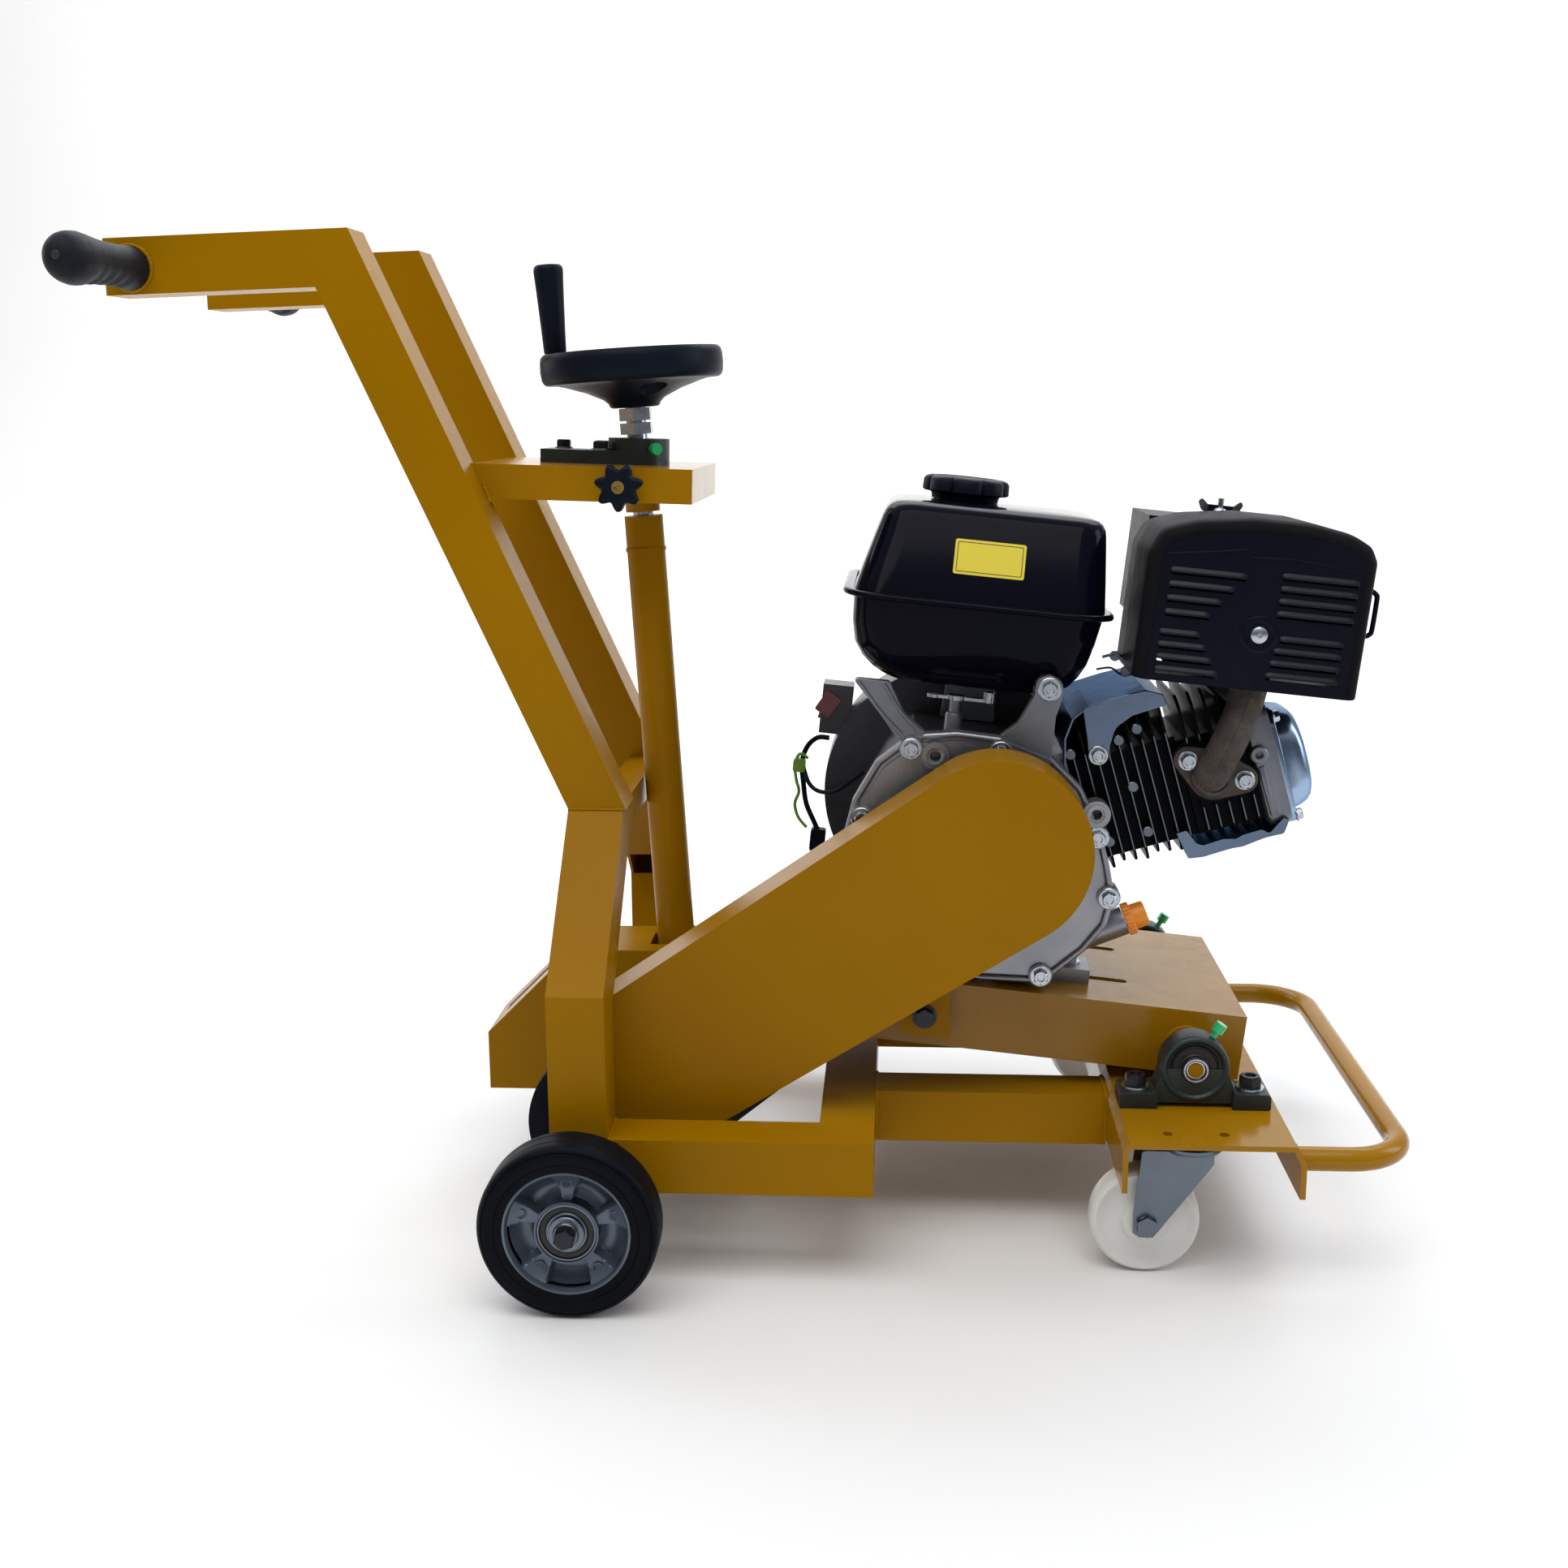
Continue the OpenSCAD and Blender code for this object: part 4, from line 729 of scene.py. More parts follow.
def cooling_sheet():
    """Bent sheets above and below the cylinder, each with the tab that lies on its side."""
    B = barrel()
    bm = bmesh.new()
    over = [(84, 48), (91, 74), (103, 91), (121, 99), (150, 100), (176, 99), (190, 91), (194, 74), (192, 74), (188, 89),
            (175, 97.2), (150, 98.2), (122, 97.2), (104.5, 89.5), (93, 73), (86, 48)]
    prism(bm, round_poly(over, 1.0, 2), -100.5, 56)
    tab = [(109, 52), (112, 70), (115, 97), (150, 100), (176, 99), (190.5, 90.5), (190.5, 80), (158, 79), (140, 72), (131, 57),
           (126, 44), (112, 43)]
    prism(bm, round_poly(tab, [7, 14, 3, 20, 14, 5, 2, 14, 14, 8, 8, 8], 5), -102.4, -100.6)
    piece("cooling_sheet", bm, "zinc_dull", "cradle", B, smooth=38, bevel=0.8, segs=2, replaces=("cooling_shroud",))
    bm = bmesh.new()
    under = [(170, -42), (175, -69), (189, -71), (216, -70.4), (227, -71), (250, -68.6), (267, -69), (275, -57), (273.6, -56),
             (266, -67.4), (250, -67), (227, -69.4), (216, -68.8), (189, -69.4), (176.5, -67.5), (171.8, -42)]
    prism(bm, round_poly(under, 1.0, 2), -101, 48)
    tab = [(170, -42), (175, -69), (189, -71), (216, -70), (227, -71), (250, -68), (267, -69), (275, -57), (270, -54),
           (254, -65), (248, -59.5), (229, -60), (223, -62), (211, -59), (192, -60), (186, -57), (180, -42)]
    prism(bm, round_poly(tab, [2, 5, 6, 8, 6, 6, 5, 2, 2, 3, 5, 4, 4, 5, 4, 6, 2], 4), -102.2, -100.6)
    piece("cooling_sheet_lower", bm, "zinc_dull", "cradle", B, smooth=38, bevel=0.7, segs=2)


# ---------------------------------------------------------------- grips, handwheel, knob
def grips():
    """Grips with finger waves underneath and fine ribs on top; local y is up, local z points outwards."""
    outward = Matrix(((1, 0, 0, 0), (0, 0, 1, 0), (0, 1, 0, 0), (0, 0, 0, 1)))
    steps = [148.4, 150, 154, 158] + [160 + i * 2.2 for i in range(46)] + [266, 271, 276, 281, 286, 290, 293.5, 296, 297.4]
    for side, s in SIDES:
        bm = bmesh.new()
        rings = []
        for z in steps:
            base = 18.6 - 1.5 * sin(min(1.0, (z - 148) / 90.0) * pi) + 2.4 * max(0.0, min(1.0, (z - 235) / 30.0))
            if z > 266:
                base = 20.6 * sqrt(max(0.02, 1 - ((z - 266) / 31.6) ** 2.6))
            wave = 0.5 - 0.5 * cos((z - 172) / 21.0 * 2 * pi) if 172 < z < 256 else 0.0
            ring = []
            for a in (2 * pi * i / 56 for i in range(56)):
                low = max(0.0, -sin(a)) ** 1.6
                r = base - 2.9 * wave * low + 0.9 * low
                r += 0.25 * cos(a * 28) if 168 < z < 262 and sin(a) > 0.1 else 0
                ring.append((r * cos(a) * 0.98, r * sin(a) * 1.04, z))
            rings.append(ring)
        loft(bm, rings)
        W = saw(-408, 0, 904) @ s @ outward
        piece("grip_" + side, bm, "grip", "chassis", W, smooth=60, replaces=("handle_grips",) if side == "left" else ())
        bm = bmesh.new()
        lathe(bm, [(0, 297.6), (2.6, 297.6), (3.2, 297.9), (3.6, 297.5), (3.6, 296)], 24)
        piece("grip_vent_" + side, bm, "seal", "chassis", W)


def controls():
    L = lift()
    bm = bmesh.new()
    wheel = [(10.1, 563.6), (22, 563.6), (24.4, 565), (25.6, 568), (30, 572), (46, 579.5), (66, 586), (80, 589.5), (84, 588.6),
             (86.6, 590.4), (88.2, 594), (89, 602), (88.6, 611), (87.4, 615.6), (84.6, 618), (81.4, 617.4), (79, 614),
             (76.5, 606), (70, 601.5), (46, 598.6), (28, 599), (23, 604), (21, 606.6), (18, 607.4), (10.1, 607.4)]
    lathe(bm, wheel, 120, L, closed=True)
    o = piece("handwheel_body", bm, "black_plastic", "handwheel", smooth=40, replaces=("handwheel",))
    cutter = bmesh.new()
    for a, r in ((60, 14), (180, 9), (300, 14)):
        t = radians(a)
        lathe(cutter, [(0, 550), (r, 550), (r, 630), (0, 630)], 48, L @ at(49 * cos(t), 49 * sin(t), 0))
    carve(o, cutter)
    # raised seat of the handle spindle, and the handle
    bm = bmesh.new()
    lathe(bm, [(11.2, 600), (11.2, 617.2), (10.2, 618.2), (5.1, 618.2), (5.1, 612)], 40, lift(HANDLE_X))
    piece("handwheel_handle_seat", bm, "black_plastic", "handwheel", smooth=40)
    bm = bmesh.new()
    lathe(bm, [(5.1, 618.9), (9.4, 618.9), (10.4, 619.6), (11, 622), (11.6, 640), (13.3, 678), (14.4, 696), (14.3, 699),
               (13.4, 701.6), (11.4, 703.2), (7, 703.6), (0, 703.6)], 56, lift(HANDLE_X))
    piece("crank_handle_body", bm, "black_plastic", "crank_handle", smooth=40, replaces=("crank_handle",))
    # red cheek of the rocker switch
    bm = bmesh.new()
    prism(bm, round_poly([(-391, 249), (-379, 270), (-363, 261), (-375, 240)], 2.5, 4), 80.4, 81.7, crd())
    piece("switch_cheek", bm, "red", "stop_switch", smooth=35, bevel=0.4, segs=2)
    # seven-lobed knob: skirt, crown and brass insert
    K = saw(25.5, -113.5, 707) @ TO_CAM
    bm = bmesh.new()
    knob = ((5.0, 17.0, 2.0), (5.4, 18.6, 2.9), (7, 19.4, 3.3), (15, 19.2, 3.3), (17.4, 18.2, 2.9), (18.8, 16.0, 2.0),
            (19.2, 12.0, 0.8), (18.6, 8.4, 0.0), (18.6, 6.2, 0.0), (17.4, 5.8, 0.0))
    loft(bm, lobes(knob, 168, lambda t: cos(7 * t), 0.2), cap1=False)
    lathe(bm, [(8.9, 0.2), (8.9, 5.2)], 40)
    piece("lock_knob_body", bm, "black_plastic", "lock_knob", K, smooth=40, replaces=("lock_knob",))
    bm = bmesh.new()
    lathe(bm, [(0, 15.4), (2.9, 15.4), (3.1, 17.6), (5.9, 17.6), (5.9, 14)], 32)
    piece("lock_knob_insert", bm, "brass", "lock_knob", K)
    bm = bmesh.new()
    lathe(bm, [(4, 0.5), (4, -100), (0, -100)], 32)
    for z in (-3 - i * 1.25 for i in range(24)):
        lathe(bm, [(3.98, z - 0.5), (4.25, z), (3.98, z + 0.5)], 24)
    piece("lock_stud", bm, "zinc", "lock_knob", K, smooth=60)


# ---------------------------------------------------------------- rear wheels and casters
def tyre(side, W):
    bm = bmesh.new()
    lathe(bm, [(56.2, 1.4), (60, 0.8), (67, 0.2), (72, 0.2), (74.4, 1.2), (76.6, 2.0), (78.6, 4.4), (79.7, 7.6), (80, 12),
               (80, 14.6), (79.5, 15.0), (79.5, 15.8), (80, 16.2), (80, 28.8), (79.5, 29.2), (79.5, 30), (80, 30.4), (80, 33),
               (79.7, 37.4), (78.6, 40.6), (76.6, 43), (75.2, 43.6), (74.9, 42.9), (74.4, 42.9), (74.1, 43.9), (72, 44.8),
               (67, 44.9), (64.2, 44.4), (63.8, 43.8), (63.4, 43.8), (63, 44.3), (60, 44.2), (56.2, 43.4)], 128)
    piece("tyre_" + side, bm, "rubber", "rear_wheel_" + side, W, smooth=45, replaces=("rear_tyre_" + side,))


def hub(side, W):
    """Cast hub: a dished web with five spokes, a rim and a bearing seat."""
    body = "rear_wheel_" + side
    spokes, spread, shift = 5, 72, 18
    inner, outer, rows, n = 27.5, 52.5, 22, 240
    bm = bmesh.new()
    web = []
    for u in (j / rows for j in range(rows + 1)):
        r = inner + (outer - inner) * u

        def lift_at(a):
            d = abs((degrees(a) + shift + spread / 2) % spread - spread / 2)
            w = max(0.0, min(1.0, (9.0 + 5.5 * u + 3.0 - d) / 4.0))
            w = w * w * (3 - 2 * w)
            deep = 6.0 + 15.0 * sin(pi * min(1.0, 0.18 + 0.78 * u)) ** 0.7
            return 40.5 - deep * (1 - w) - w * (7.5 - 6.5 * u + 4.0 * sin(pi * u))

        web.append([(r * cos(a), r * sin(a), lift_at(a)) for a in (2 * pi * i / n for i in range(n))])
    loft(bm, web, False, False)
    lathe(bm, [(52.5, 38.0), (53.4, 41.2), (54.2, 43.2), (55.4, 43.8), (56.4, 43.4), (56.4, 1.8), (54.5, 1.4), (52, 2.2),
               (50, 8), (46, 12), (29, 14), (27.6, 3), (20, 2.4), (10.06, 2.4), (10.06, 30)], 128)
    lathe(bm, [(27.5, 38.8), (28.6, 40.6), (28.2, 42.0), (26.8, 42.4), (26.4, 41.6), (26.4, 39)], 96)
    for a in (radians(spread * k - shift) for k in range(spokes)):
        lathe(bm, [(3.6, -0.3), (4.0, 0.5), (4.6, 0.5), (5.0, -0.3)], 24, at(43 * cos(a), 43 * sin(a), 34.4))
    piece("hub_" + side, bm, "wheel_alu", body, W, smooth=35, replaces=("rear_hub_" + side,))
    bm = bmesh.new()
    lathe(bm, [(26.4, 38), (26.4, 40.4), (25.8, 41), (24.4, 41), (24, 40.2), (24, 38)], 96)
    lathe(bm, [(18.4, 38), (18.4, 40.2), (17.8, 41), (10.3, 41), (10.3, 38)], 96)
    piece("hub_bearing_" + side, bm, "fork_zinc", body, W, smooth=35)
    bm = bmesh.new()
    lathe(bm, [(24.1, 39.2), (23.2, 39.8), (20, 39.4), (19.2, 39.8), (18.3, 39.2)], 96)
    piece("hub_seal_" + side, bm, "seal", body, W, smooth=35)


def rear_wheels():
    for side, s in SIDES:
        W = s @ saw(0, 315, 80) @ ALONG_Y
        tyre(side, W)
        hub(side, W)


def frame_bolts():
    shelf = saw(92, 0, 722) @ turn(1.9, "Y")
    ends = [s @ saw(0, 357, 80) @ ALONG_Y for _, s in SIDES]
    feet = [(PIVOT[0] + x, y) for y in (BLOCK_Y, -BLOCK_Y) for x in BLOCK_BOLT_X]
    bm = bmesh.new()
    for W in ends:
        hexhead(bm, 17, 10, W @ at(0, 0, 5) @ turn(12, "Z"), dimple=False)
    for x, y in feet:
        hexhead(bm, 18, 10.5, saw(x, y, 160.2))
    for x, y in SHELF_BOLTS:
        hexhead(bm, 13, 7, shelf @ at(x, y, 14.6))
    hexhead(bm, 8, 5, saw(33, -286.5, 131) @ TO_CAM, dimple=False)
    piece("frame_bolt_heads", bm, "dark_steel", "chassis", smooth=30, replaces=("frame_bolts",))
    bm = bmesh.new()
    for x, y in feet:
        lathe(bm, [(0, 0), (12.6, 0), (13, 0.5), (12.8, 2.2), (0, 2.2)], 48, saw(x, y, 158.0))
    for x, y in SHELF_BOLTS:
        lathe(bm, [(0, 0), (9, 0), (9, 1.6), (0, 1.6)], 40, shelf @ at(x, y, 13))
    piece("frame_bolt_washers", bm, "zinc", "chassis", smooth=30)
    bm = bmesh.new()
    for W in ends:
        lathe(bm, [(0, 0.1), (15.4, 0.1), (16.0, 0.6), (16.0, 2.0), (15.4, 2.6), (11.6, 2.6), (11.0, 4.4), (10.4, 5.0),
                   (0, 5.0)], 64, W)
    piece("axle_washers", bm, "fork_zinc", "chassis", smooth=30)


def casters():
    half = [(6.06, 0), (18, 0), (20, 1.2), (21.4, 4.4), (24, 6.2), (36, 6.2), (40, 4.6), (43, 2.2), (45.4, 1.2), (47.6, 2.6),
            (49.2, 6), (50, 11)]
    for side, s in SIDES:
        W = s @ saw(*CASTER) @ ALONG_Y
        bm = bmesh.new()
        lathe(bm, half + [(r, 32 - z) for r, z in half[::-1]], 120, W @ at(0, 0, -16), closed=True)
        piece("caster_tread_" + side, bm, "nylon", "caster_wheel_" + side, smooth=40, replaces=("caster_wheel_" + side,))
        # swivel race between the top plate and the fork
        bm = bmesh.new()
        lathe(bm, [(22, 125.6), (29.4, 125.8), (31.2, 124.4), (31.4, 121.6), (30, 119.8), (27.6, 119.6)], 64,
              s @ saw(CASTER_STEM_X, CASTER[1]))
        piece("caster_race_" + side, bm, "fork_zinc", "caster_fork_" + side, smooth=40)
        bm = bmesh.new()
        for k in (1, -1):
            lathe(bm, [(9.2, 21.9 * k), (9.0, 23.2 * k), (7.8, 25.0 * k), (5, 25.9 * k), (4.4, 25.2 * k), (0, 25.2 * k)], 40, W)
        piece("caster_rivet_" + side, bm, "zinc", "caster_fork_" + side, smooth=40)


# ---------------------------------------------------------------- pillow blocks
def both_ends(bm, half, closed=True):
    """Turns an outline about Y, and its mirror image at the other end."""
    for k in (1, -1):
        lathe(bm, [(r, z * k) for r, z in half], 96, ALONG_Y, closed=closed)


def pillow_blocks():
    foot = [(69, -36.9), (69, -24), (66, -21.8), (40, -21.8), (35, -19), (34, -36.9)]
    saddle = [(-38, -35), (-36, -18), (-29, 0), (29, 0), (36, -18), (38, -35), (30, -33), (-30, -33)]
    ring = [(24.4, 12.0), (25.6, 13.6), (27.6, 15.0), (29.6, 14.8), (31, 13.6), (31.5, 11)]
    step = [(24.6, 11.0), (22, 10.2), (20.9, 9.6)]
    for side, s in SIDES:
        P = s @ saw(PIVOT[0], BLOCK_Y, PIVOT[1])
        bm = bmesh.new()
        for k in (1, -1):
            prism(bm, round_poly([(x * k, z) for x, z in foot], [2, 2.5, 3, 4, 3, 1], 4), -18.8, 18.8)
        prism(bm, round_poly(saddle, [1, 8, 2, 2, 8, 1, 3, 3], 4), -13, 13)
        for half in (ring, step):
            lathe(bm, half + [(r, -z) for r, z in half[::-1]], 96, ALONG_Y, closed=True)
        piece("pillow_block_" + side, bm, "green", "chassis", P, smooth=32, bevel=1.2, segs=2,
              replaces=("pivot_blocks",) if side == "left" else ())
        bm = bmesh.new()
        lathe(bm, [(21.6, 9.6), (21.6, 11.6), (21.2, 12), (20.6, 12), (20.4, 11.6), (20.4, 9.6)], 96, ALONG_Y, closed=True)
        both_ends(bm, [(12.6, 8.6), (12.6, 16.2), (12.0, 16.9), (9.2, 16.9), (8.6, 16.3), (8.6, 8.6)])
        piece("pillow_bearing_" + side, bm, "dark_steel", "chassis", P, smooth=32)
        bm = bmesh.new()
        lathe(bm, [(11.2, 16.8), (11.2, 17.3), (9.8, 17.3), (9.4, 16.6), (9.4, 15.8)], 96, ALONG_Y)
        piece("pillow_sleeve_" + side, bm, "zinc", "chassis", P, smooth=32)
        bm = bmesh.new()
        both_ends(bm, [(20.5, 10.2), (19.6, 11.0), (14, 10.4), (12.6, 11.6), (12.6, 9.6), (20.5, 9.2)])
        piece("pillow_seal_" + side, bm, "seal", "chassis", P, smooth=32)
        bm = bmesh.new()
        lathe(bm, [(0, 15.6), (5.0, 15.5), (6.6, 15.3), (7.2, 15.0), (7.3, 13)], 48, ALONG_Y)
        piece("pivot_end_paint_" + side, bm, "yellow", "cradle", P, smooth=40)


# ---------------------------------------------------------------- leads at the rear of the engine
def leads():
    C = crd()
    bm = bmesh.new()
    sweep(bm, [(-372, 78, 220), (-384, 79, 219), (-394, 82, 208), (-398, 81, 190), (-394, 78, 168), (-389, 76, 148),
               (-379, 74, 130), (-372, 73, 118)], 2.7, 12, smooth=5)
    sweep(bm, [(-396, 80, 186), (-388, 66, 172), (-376, 54, 167), (-360, 40, 172), (-346, 27, 186), (-333, 20, 199)], 2.3, 12,
          smooth=5)
    prism(bm, rrect(-381, -365, 99, 123, 3, 4), 67, 80)
    piece("stop_leads", bm, "black_plastic", "cradle", C, smooth=50, replaces=("ignition_wires",))
    bm = bmesh.new()
    sweep(bm, [(-392, 78, 196), (-401, 77, 200), (-405, 76, 188), (-402, 76, 172), (-398, 76, 160), (-401, 77, 146),
               (-396, 77, 132), (-386, 76, 122)], 1.7, 10, smooth=5)
    prism(bm, rrect(-407, -394, 181, 195, 3, 4), 73, 84)
    piece("earth_lead", bm, "wire_green", "cradle", C, smooth=50)


# ---------------------------------------------------------------- engine case details
def case_details():
    C = crd()
    cover = [(-291, 269), (-250, 276), (-207, 275), (-160, 262), (-128, 236), (-106, 200), (-93, 165), (-84, 135), (-88, 105),
             (-105, 78), (-140, 42), (-200, 38), (-270, 44), (-306, 78), (-332, 120), (-345, 165), (-340, 200), (-322, 240)]
    rim = [(x, -121, z) for x, z in inset(round_poly(cover, 16, 4), 3)]
    bm = bmesh.new()
    sweep(bm, rim + rim[:1], 3.2, 10)
    # ribs from the bearing boss to the rim
    for t in (radians(a + 8) for a in range(0, 360, 30)):
        sweep(bm, [(-205 + 40 * cos(t), -124, 173 + 40 * sin(t)), (-205 + 92 * cos(t), -122.5, 165 + 92 * sin(t))], 3.0, 8)
    for x, z in COVER_BOLTS:
        lathe(bm, [(11.6, 104), (11.4, 126), (10.6, 127.8), (8.8, 128.2)], 32, at(x, 0, z) @ TO_CAM)
    piece("cover_ribs", bm, "cast", "cradle", C, smooth=50)
    # sockets in the two mounting bosses
    bm = bmesh.new()
    for x, z in ((-268, 252), (-112, 213)):
        lathe(bm, [(11.2, 112), (11.0, 128.6), (10.2, 130.2), (7.2, 130.6), (5.4, 129.6), (5.2, 116)], 40, at(x, 0, z) @ TO_CAM)
    piece("cover_bosses", bm, "cast", "cradle", C, smooth=40)
    # bolts with washers and dimpled heads
    bm = bmesh.new()
    for x, z in COVER_BOLTS:
        hexhead(bm, 12.5, 6.2, at(x, -128.2, z) @ TO_CAM @ Matrix.Rotation(x * 0.37, 4, "Z"), washer=10.2, wt=1.8)
    hexhead(bm, 13, 6.4, at(-170, -124.2, 325) @ TO_CAM, washer=11, wt=1.8)
    for y in (-63, 45):
        for x in (-112, -307):
            hexhead(bm, 16, 7.5, at(x, y, 49.2), washer=12, wt=2)
    lathe(bm, [(8.2, 150.2), (8.2, 151.4), (7.4, 153.4), (5.4, 154.6), (2.4, 155), (2.2, 153.6), (0, 153.6)], 40,
          at(GUARD_SCREW[0], 0, GUARD_SCREW[1]) @ TO_CAM)
    piece("engine_bolt_heads", bm, "zinc", "cradle", C, smooth=30, replaces=("engine_bolts",))
    bm = bmesh.new()
    for x, z in ((197, 24), (243, -8)):
        hexhead(bm, 13, 7.4, at(x, -104.4, z) @ TO_CAM @ Matrix.Rotation(x, 4, "Z"), washer=9.6, wt=1.8)
    hexhead(bm, 12, 6, at(118, -102.6, 51) @ TO_CAM, washer=9.4, wt=1.8)
    piece("head_bolts", bm, "zinc", "cradle", barrel(), smooth=30)


def governor():
    """Stud, lever clamp and links between the tank and the muffler guard."""
    C = crd()
    bm = bmesh.new()
    lathe(bm, [(8.4, 260), (8.4, 282), (7.6, 284), (5.4, 284.6), (5.4, 296.6), (0, 296.6)], 40, at(-252, -62, 0))
    piece("governor_post", bm, "cast", "cradle", C, smooth=40)
    bm = bmesh.new()
    sweep(bm, [(-118, -58, 352), (-104, -56, 356), (-92, -50, 350), (-80, -40, 352)], 1.5, 10, smooth=5)
    sweep(bm, [(-122, -60, 340), (-108, -54, 342), (-96, -50, 336), (-78, -40, 338)], 1.1, 10, smooth=5)
    for x, z in ((-106, 354), (-94, 340)):
        lathe(bm, [(0, -3), (4.6, -3), (5, -2), (5, 2), (4.6, 3), (0, 3)], 24, at(x, -55, z) @ TO_CAM)
    piece("governor_links", bm, "fork_zinc", "cradle", C, smooth=50)


def wing_nut():
    """Wing nut on the air cleaner, and the red seal beside it."""
    C = crd()
    bm = bmesh.new()
    lathe(bm, [(8.4, 492.4), (8, 497), (6, 500), (3.1, 500.6), (3.1, 510), (0, 510.6)], 32, at(-15, 16, 0))
    for s in (1, -1):
        ear = round_poly([(4 * s, 494), (12 * s, 503), (19 * s, 509), (22 * s, 505), (18 * s, 497), (7 * s, 492)], 3, 4)
        prism(bm, ear, 14.4, 17.6, at(-15, 0, 0))
    piece("wing_nut", bm, "zinc", "cradle", C, smooth=40, bevel=0.5, segs=2)
    bm = bmesh.new()
    lathe(bm, [(0, 493), (9, 493), (10.4, 491.8), (10.8, 488.6), (0, 488.6)], 40, at(-36, 6, 0))
    piece("air_cleaner_seal", bm, "red", "cradle", C, smooth=40)


def recoil_shroud():
    """Skin of the recoil side: rim and a pressed face."""
    bm = bmesh.new()
    lathe(bm, [(131.4, 56), (131.8, 62), (131.8, 118), (130, 130), (124, 138), (112, 140.4), (96, 141.2), (92.6, 142),
               (92.6, 166), (90, 171), (84, 173.2), (60, 173.6)], 120, at(-240, 0, 181) @ ALONG_Y)
    piece("recoil_shroud_skin", bm, "grey", "cradle", crd(), smooth=40)


def tank_arms():
    """Cast arms that carry the tank, with the block behind them, in a darker copy of the cast aluminium whose colour is
    painted shade.
    """
    C = crd()
    bm = bmesh.new()
    right = [(-171, 338), (-183, 333), (-183, 318), (-195, 290), (-209, 277), (-209, 266), (-160, 254), (-161, 300),
             (-157, 318), (-158, 333)]
    prism(bm, round_poly(right, [8, 10, 10, 18, 4, 2, 2, 18, 10, 10], 5), -124, -111)
    left = [(-353, 316), (-318, 316), (-301, 288), (-280, 273), (-283, 262), (-304, 262), (-325, 287)]
    prism(bm, round_poly(left, [3, 3, 20, 4, 2, 2, 20], 5), -124, -111)
    piece("tank_arms", bm, "cast_dark", "cradle", C, smooth=35, bevel=1.8, replaces=("tank_brackets",))
    bm = bmesh.new()
    prism(bm, round_poly([(-262, 262.5), (-206, 262.5), (-210, 313), (-258, 313)], 4, 4), 30, 42)
    lathe(bm, [(14, 324.5), (13, 311), (12, 300)], 40, at(-170, -105, 0))
    piece("tank_rear_stay", bm, "cast_dark", "cradle", C, smooth=35, bevel=1)
    bm = bmesh.new()
    sweep(bm, [(-346, -125, 313), (-322, -125.4, 286), (-301, -125.4, 268)], 1.6, 8, smooth=5)
    sweep(bm, [(-322, -125, 313), (-303, -125.4, 288), (-284, -125.4, 273)], 1.6, 8, smooth=5)
    piece("tank_arm_ribs", bm, "cast_dark", "cradle", C, smooth=60)


def oil_cap():
    bm = bmesh.new()
    rows = ((36.5, 14.8, 0.3), (37, 15.6, 0.5), (43.4, 15.6, 0.5), (44.4, 14.6, 0.3), (44.6, 12.6, 0.0), (55.6, 12.2, 0.0),
            (57.6, 11.4, 0.0), (58.2, 9.4, 0.0))
    loft(bm, lobes(rows, 96, lambda t: cos(24 * t)))
    piece("oil_cap_body", bm, "orange", "oil_cap", crd(-97, -80, 85) @ turn(62, "Y"), smooth=40, replaces=("oil_cap",))


def welds():
    F = saw()
    lean, top, low, bend = radians(24.2), 722, 693, 409      # the posts' lean, the shelf's top and bottom, the posts' bend
    front = -26 + 50 / cos(lean)
    for tag, m in SIDES:
        s = 1 if tag == "left" else -1
        rail, step, post = 286 * s, 157 * s, 148.4 * s
        weld("weld_grip_" + tag, ring_pts(19.6, 0, at(-408, s * 148.6, 904) @ ALONG_Y), "chassis", F, 2.4, True)
        weld("weld_rail_rear_" + tag, [(26.6, rail, 89), (26.6, rail, 136.5), (26.6, rail - 45 * s, 137.6)], "chassis", F, 2.6)
        weld("weld_rail_step_" + tag, [(264.6, step + s, 89), (264.6, step - 0.4 * s, 137.4), (264.6, 108 * s, 138)],
             "chassis", F, 2.4)
        weld("weld_channel_" + tag, [(482.6, step, 92), (482.6, step, 137.6), (482.6, 106 * s, 138)], "chassis", F, 2.4)
        weld("weld_bumper_" + tag, ring_pts(11.6, 643.6, at(0, 238 * s, 112) @ ALONG_X), "chassis", F, 2.0, True)
        weld("weld_boss_" + tag, ring_pts(18.8, 134.8, m @ ALONG_Y), "cradle", crd(), 2.4, True)
        weld("weld_shelf_" + tag, [(front - tan(lean) * (top - bend) + 1, 104 * s, top + 4.5),
                                   (front - tan(lean) * (low - bend) + 1, 109 * s, low)], "chassis", F, 2.4)
        weld("weld_bend_" + tag, [(-26, post, 409.4), (26, post, 409.4)], "chassis", F, 1.6)


for build in (tank, guard, exhaust, engine_top, cooling_sheet, grips, controls, rear_wheels, frame_bolts, casters,
              pillow_blocks, leads, case_details, governor, wing_nut, recoil_shroud, tank_arms, oil_cap, welds):
    build()


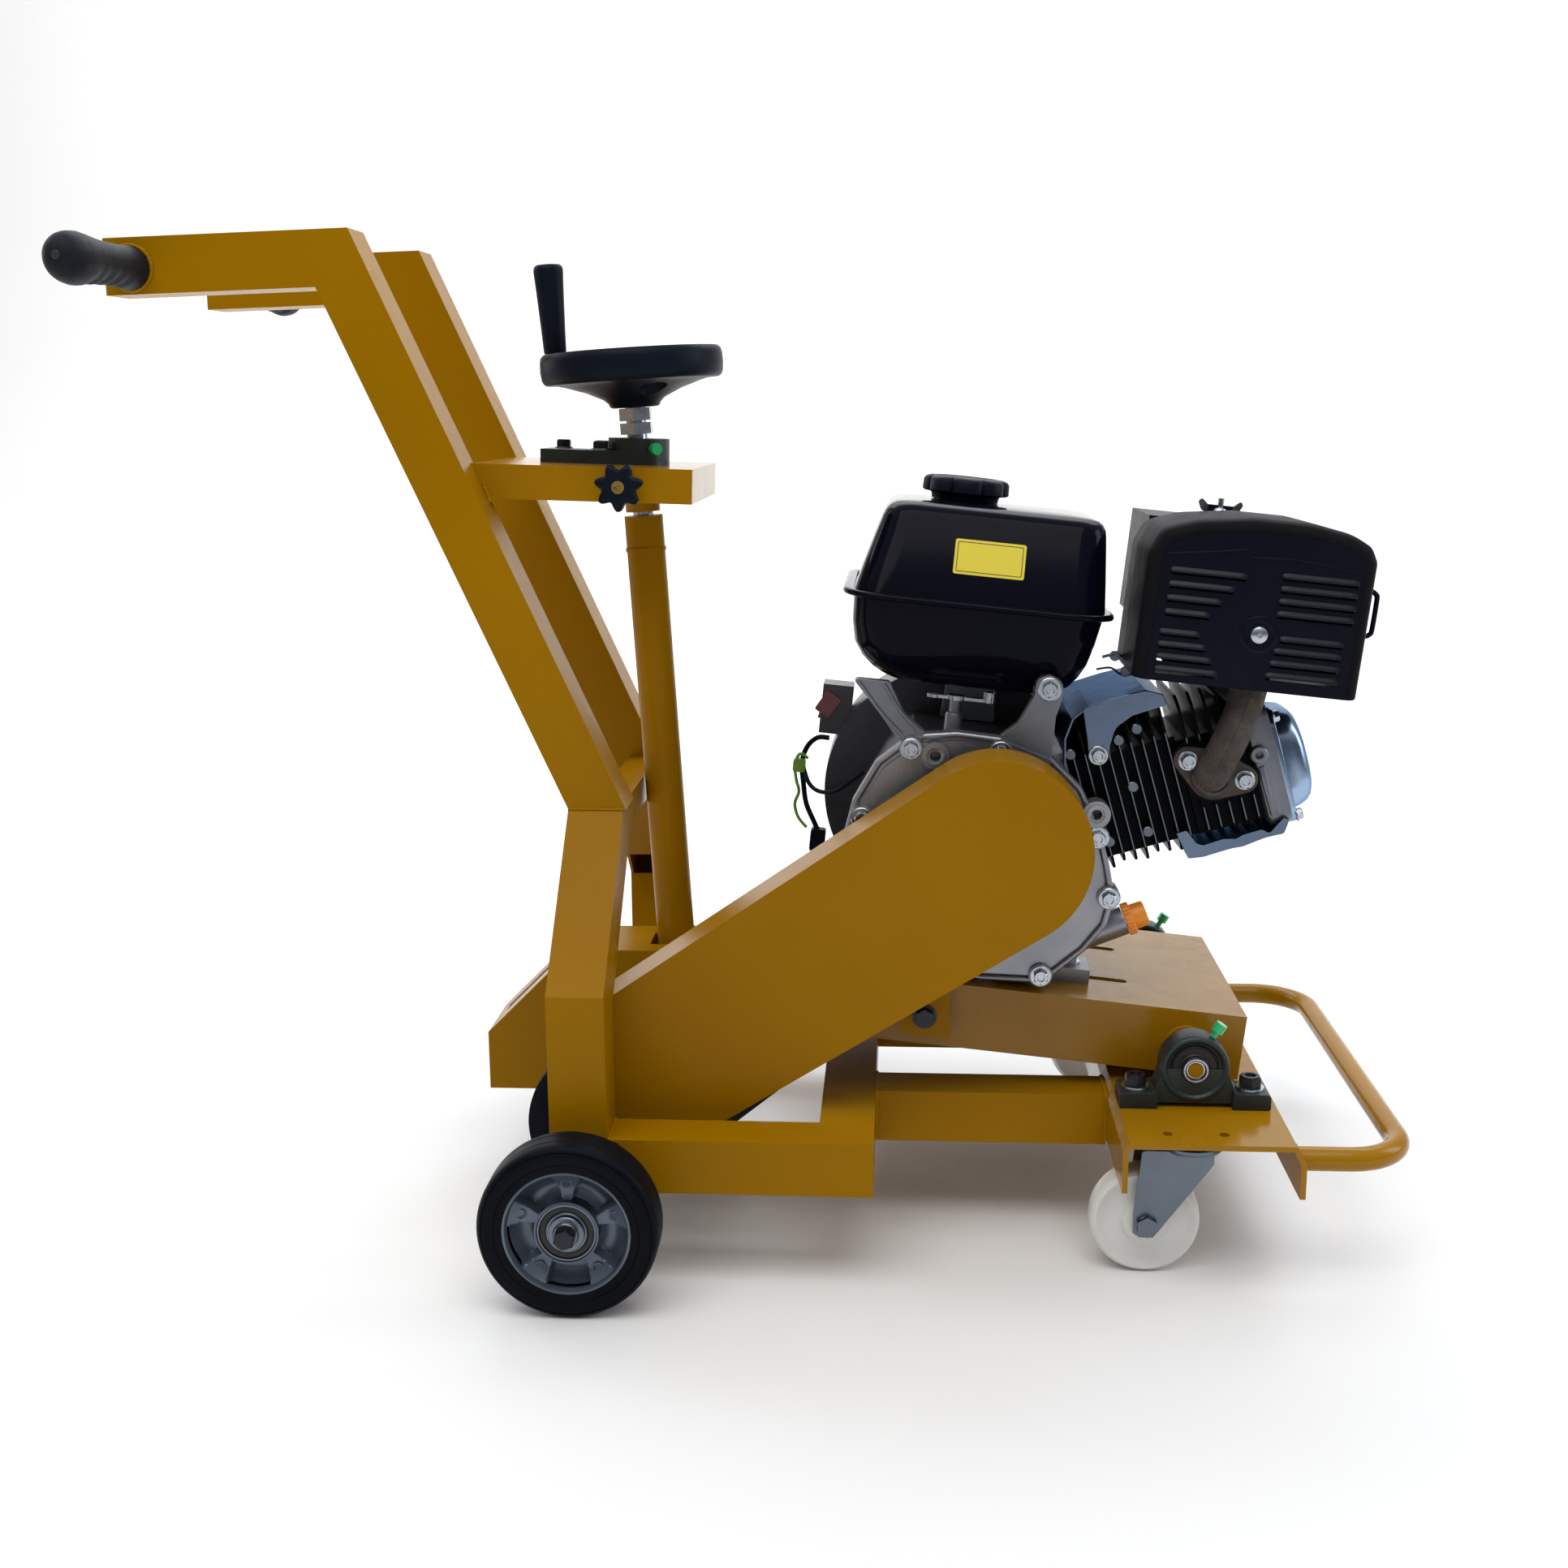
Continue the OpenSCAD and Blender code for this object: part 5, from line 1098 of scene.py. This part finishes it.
# ---------------------------------------------------------------- stage, light, camera
def stage_floor():
    """A floor that curves up into a wall far behind the machine."""
    curve = [(5.0 + 2.5 * sin(a), 2.5 - 2.5 * cos(a)) for a in (radians(90 * i / 16) for i in range(1, 17))]
    bm = bmesh.new()
    skin(bm, [[bm.verts.new((x, y, z)) for x in (-14, 14)] for y, z in [(-6.0, 0.0), (5.0, 0.0)] + curve + [(7.5, 9.0)]],
         wrap=False)
    me = bpy.data.meshes.new("floor")
    bm.to_mesh(me)
    bm.free()
    o = bpy.data.objects.new("floor", me)
    bpy.context.scene.collection.objects.link(o)
    for p in me.polygons:
        p.use_smooth = True
    me.materials.append(material("pale_floor", (0.88, 0.88, 0.875), (0.86, 0.86, 0.855), 0.75, spec=0.2, scale=2, relief=(0, 0)))


stage_floor()


def area(name, loc, target, size, power, color, size_y):
    d = bpy.data.lights.new(name, "AREA")
    d.shape = "RECTANGLE"
    d.size = size
    d.size_y = size_y
    d.energy = power
    d.color = color
    o = bpy.data.objects.new(name, d)
    bpy.context.scene.collection.objects.link(o)
    o.location = loc
    o.rotation_euler = (Vector(target) - Vector(loc)).to_track_quat("-Z", "Y").to_euler()


area("key_top", (-0.2, -1.5, 3.3), (0, 0, 0.4), 3.4, 54, (1.0, 0.99, 0.965), 2.0)
area("sky_strip", (0.2, 1.7, 2.5), (0, 0, 0.45), 3.4, 42, (0.88, 0.94, 1.0), 1.2)
area("back_left", (-2.6, 1.4, 1.7), (0, 0, 0.5), 1.2, 18, (0.92, 0.96, 1.0), 2.0)
area("right_side", (3.0, 0.2, 1.5), (0, 0, 0.5), 1.0, 22, (0.82, 0.90, 1.0), 1.8)
area("wall_wash", (0, 2.6, 4.2), (0, 7.2, 2.2), 7.0, 340, (1, 1, 1), 1.6)

world = bpy.data.worlds.new("studio")
bpy.context.scene.world = world
world.use_nodes = True
wn = world.node_tree
bg = wn.nodes["Background"]
tc = wn.nodes.new("ShaderNodeTexCoord")
sep = wn.nodes.new("ShaderNodeSeparateXYZ")
wn.links.new(tc.outputs["Generated"], sep.inputs[0])


def sky_ramp(out, stops):
    """Grey level along one part of the view direction, from (position, value) pairs; the direction runs from -1 to 1."""
    mr = wn.nodes.new("ShaderNodeMapRange")
    mr.inputs["From Min"].default_value = -1
    mr.inputs["From Max"].default_value = 1
    wn.links.new(sep.outputs[out], mr.inputs["Value"])
    r = wn.nodes.new("ShaderNodeValToRGB")
    while len(r.color_ramp.elements) < len(stops):
        r.color_ramp.elements.new(0.5)
    for e, (pos, v) in zip(r.color_ramp.elements, stops):
        e.position = pos
        e.color = (v, v, v * 1.02, 1)
    wn.links.new(mr.outputs["Result"], r.inputs["Fac"])
    return r.outputs["Color"]


# dim behind the viewer, bright overhead and behind the machine
along = sky_ramp("Y", [(0.0, 0.13), (0.38, 0.09), (0.52, 0.30), (1.0, 0.75)])
up = sky_ramp("Z", [(0.0, 0.0), (0.56, 0.0), (0.78, 0.55), (1.0, 1.0)])
add = wn.nodes.new("ShaderNodeMixRGB")
add.blend_type = "ADD"
add.inputs["Fac"].default_value = 1.0
wn.links.new(along, add.inputs["Color1"])
wn.links.new(up, add.inputs["Color2"])
wn.links.new(add.outputs["Color"], bg.inputs["Color"])
bg.inputs["Strength"].default_value = 0.7

cam_data = bpy.data.cameras.new("camera")
cam = bpy.data.objects.new("camera", cam_data)
bpy.context.scene.collection.objects.link(cam)
cam_data.sensor_width = 36
cam_data.lens = 41.925
cam.location = ((283.55 - MID_X) / 1000, -1.80825, 0.7787)
cam.rotation_euler = Euler((radians(78.3195), radians(0.33), radians(3.586)), "XYZ")
bpy.context.scene.camera = cam
bpy.context.scene.view_settings.view_transform = "Standard"
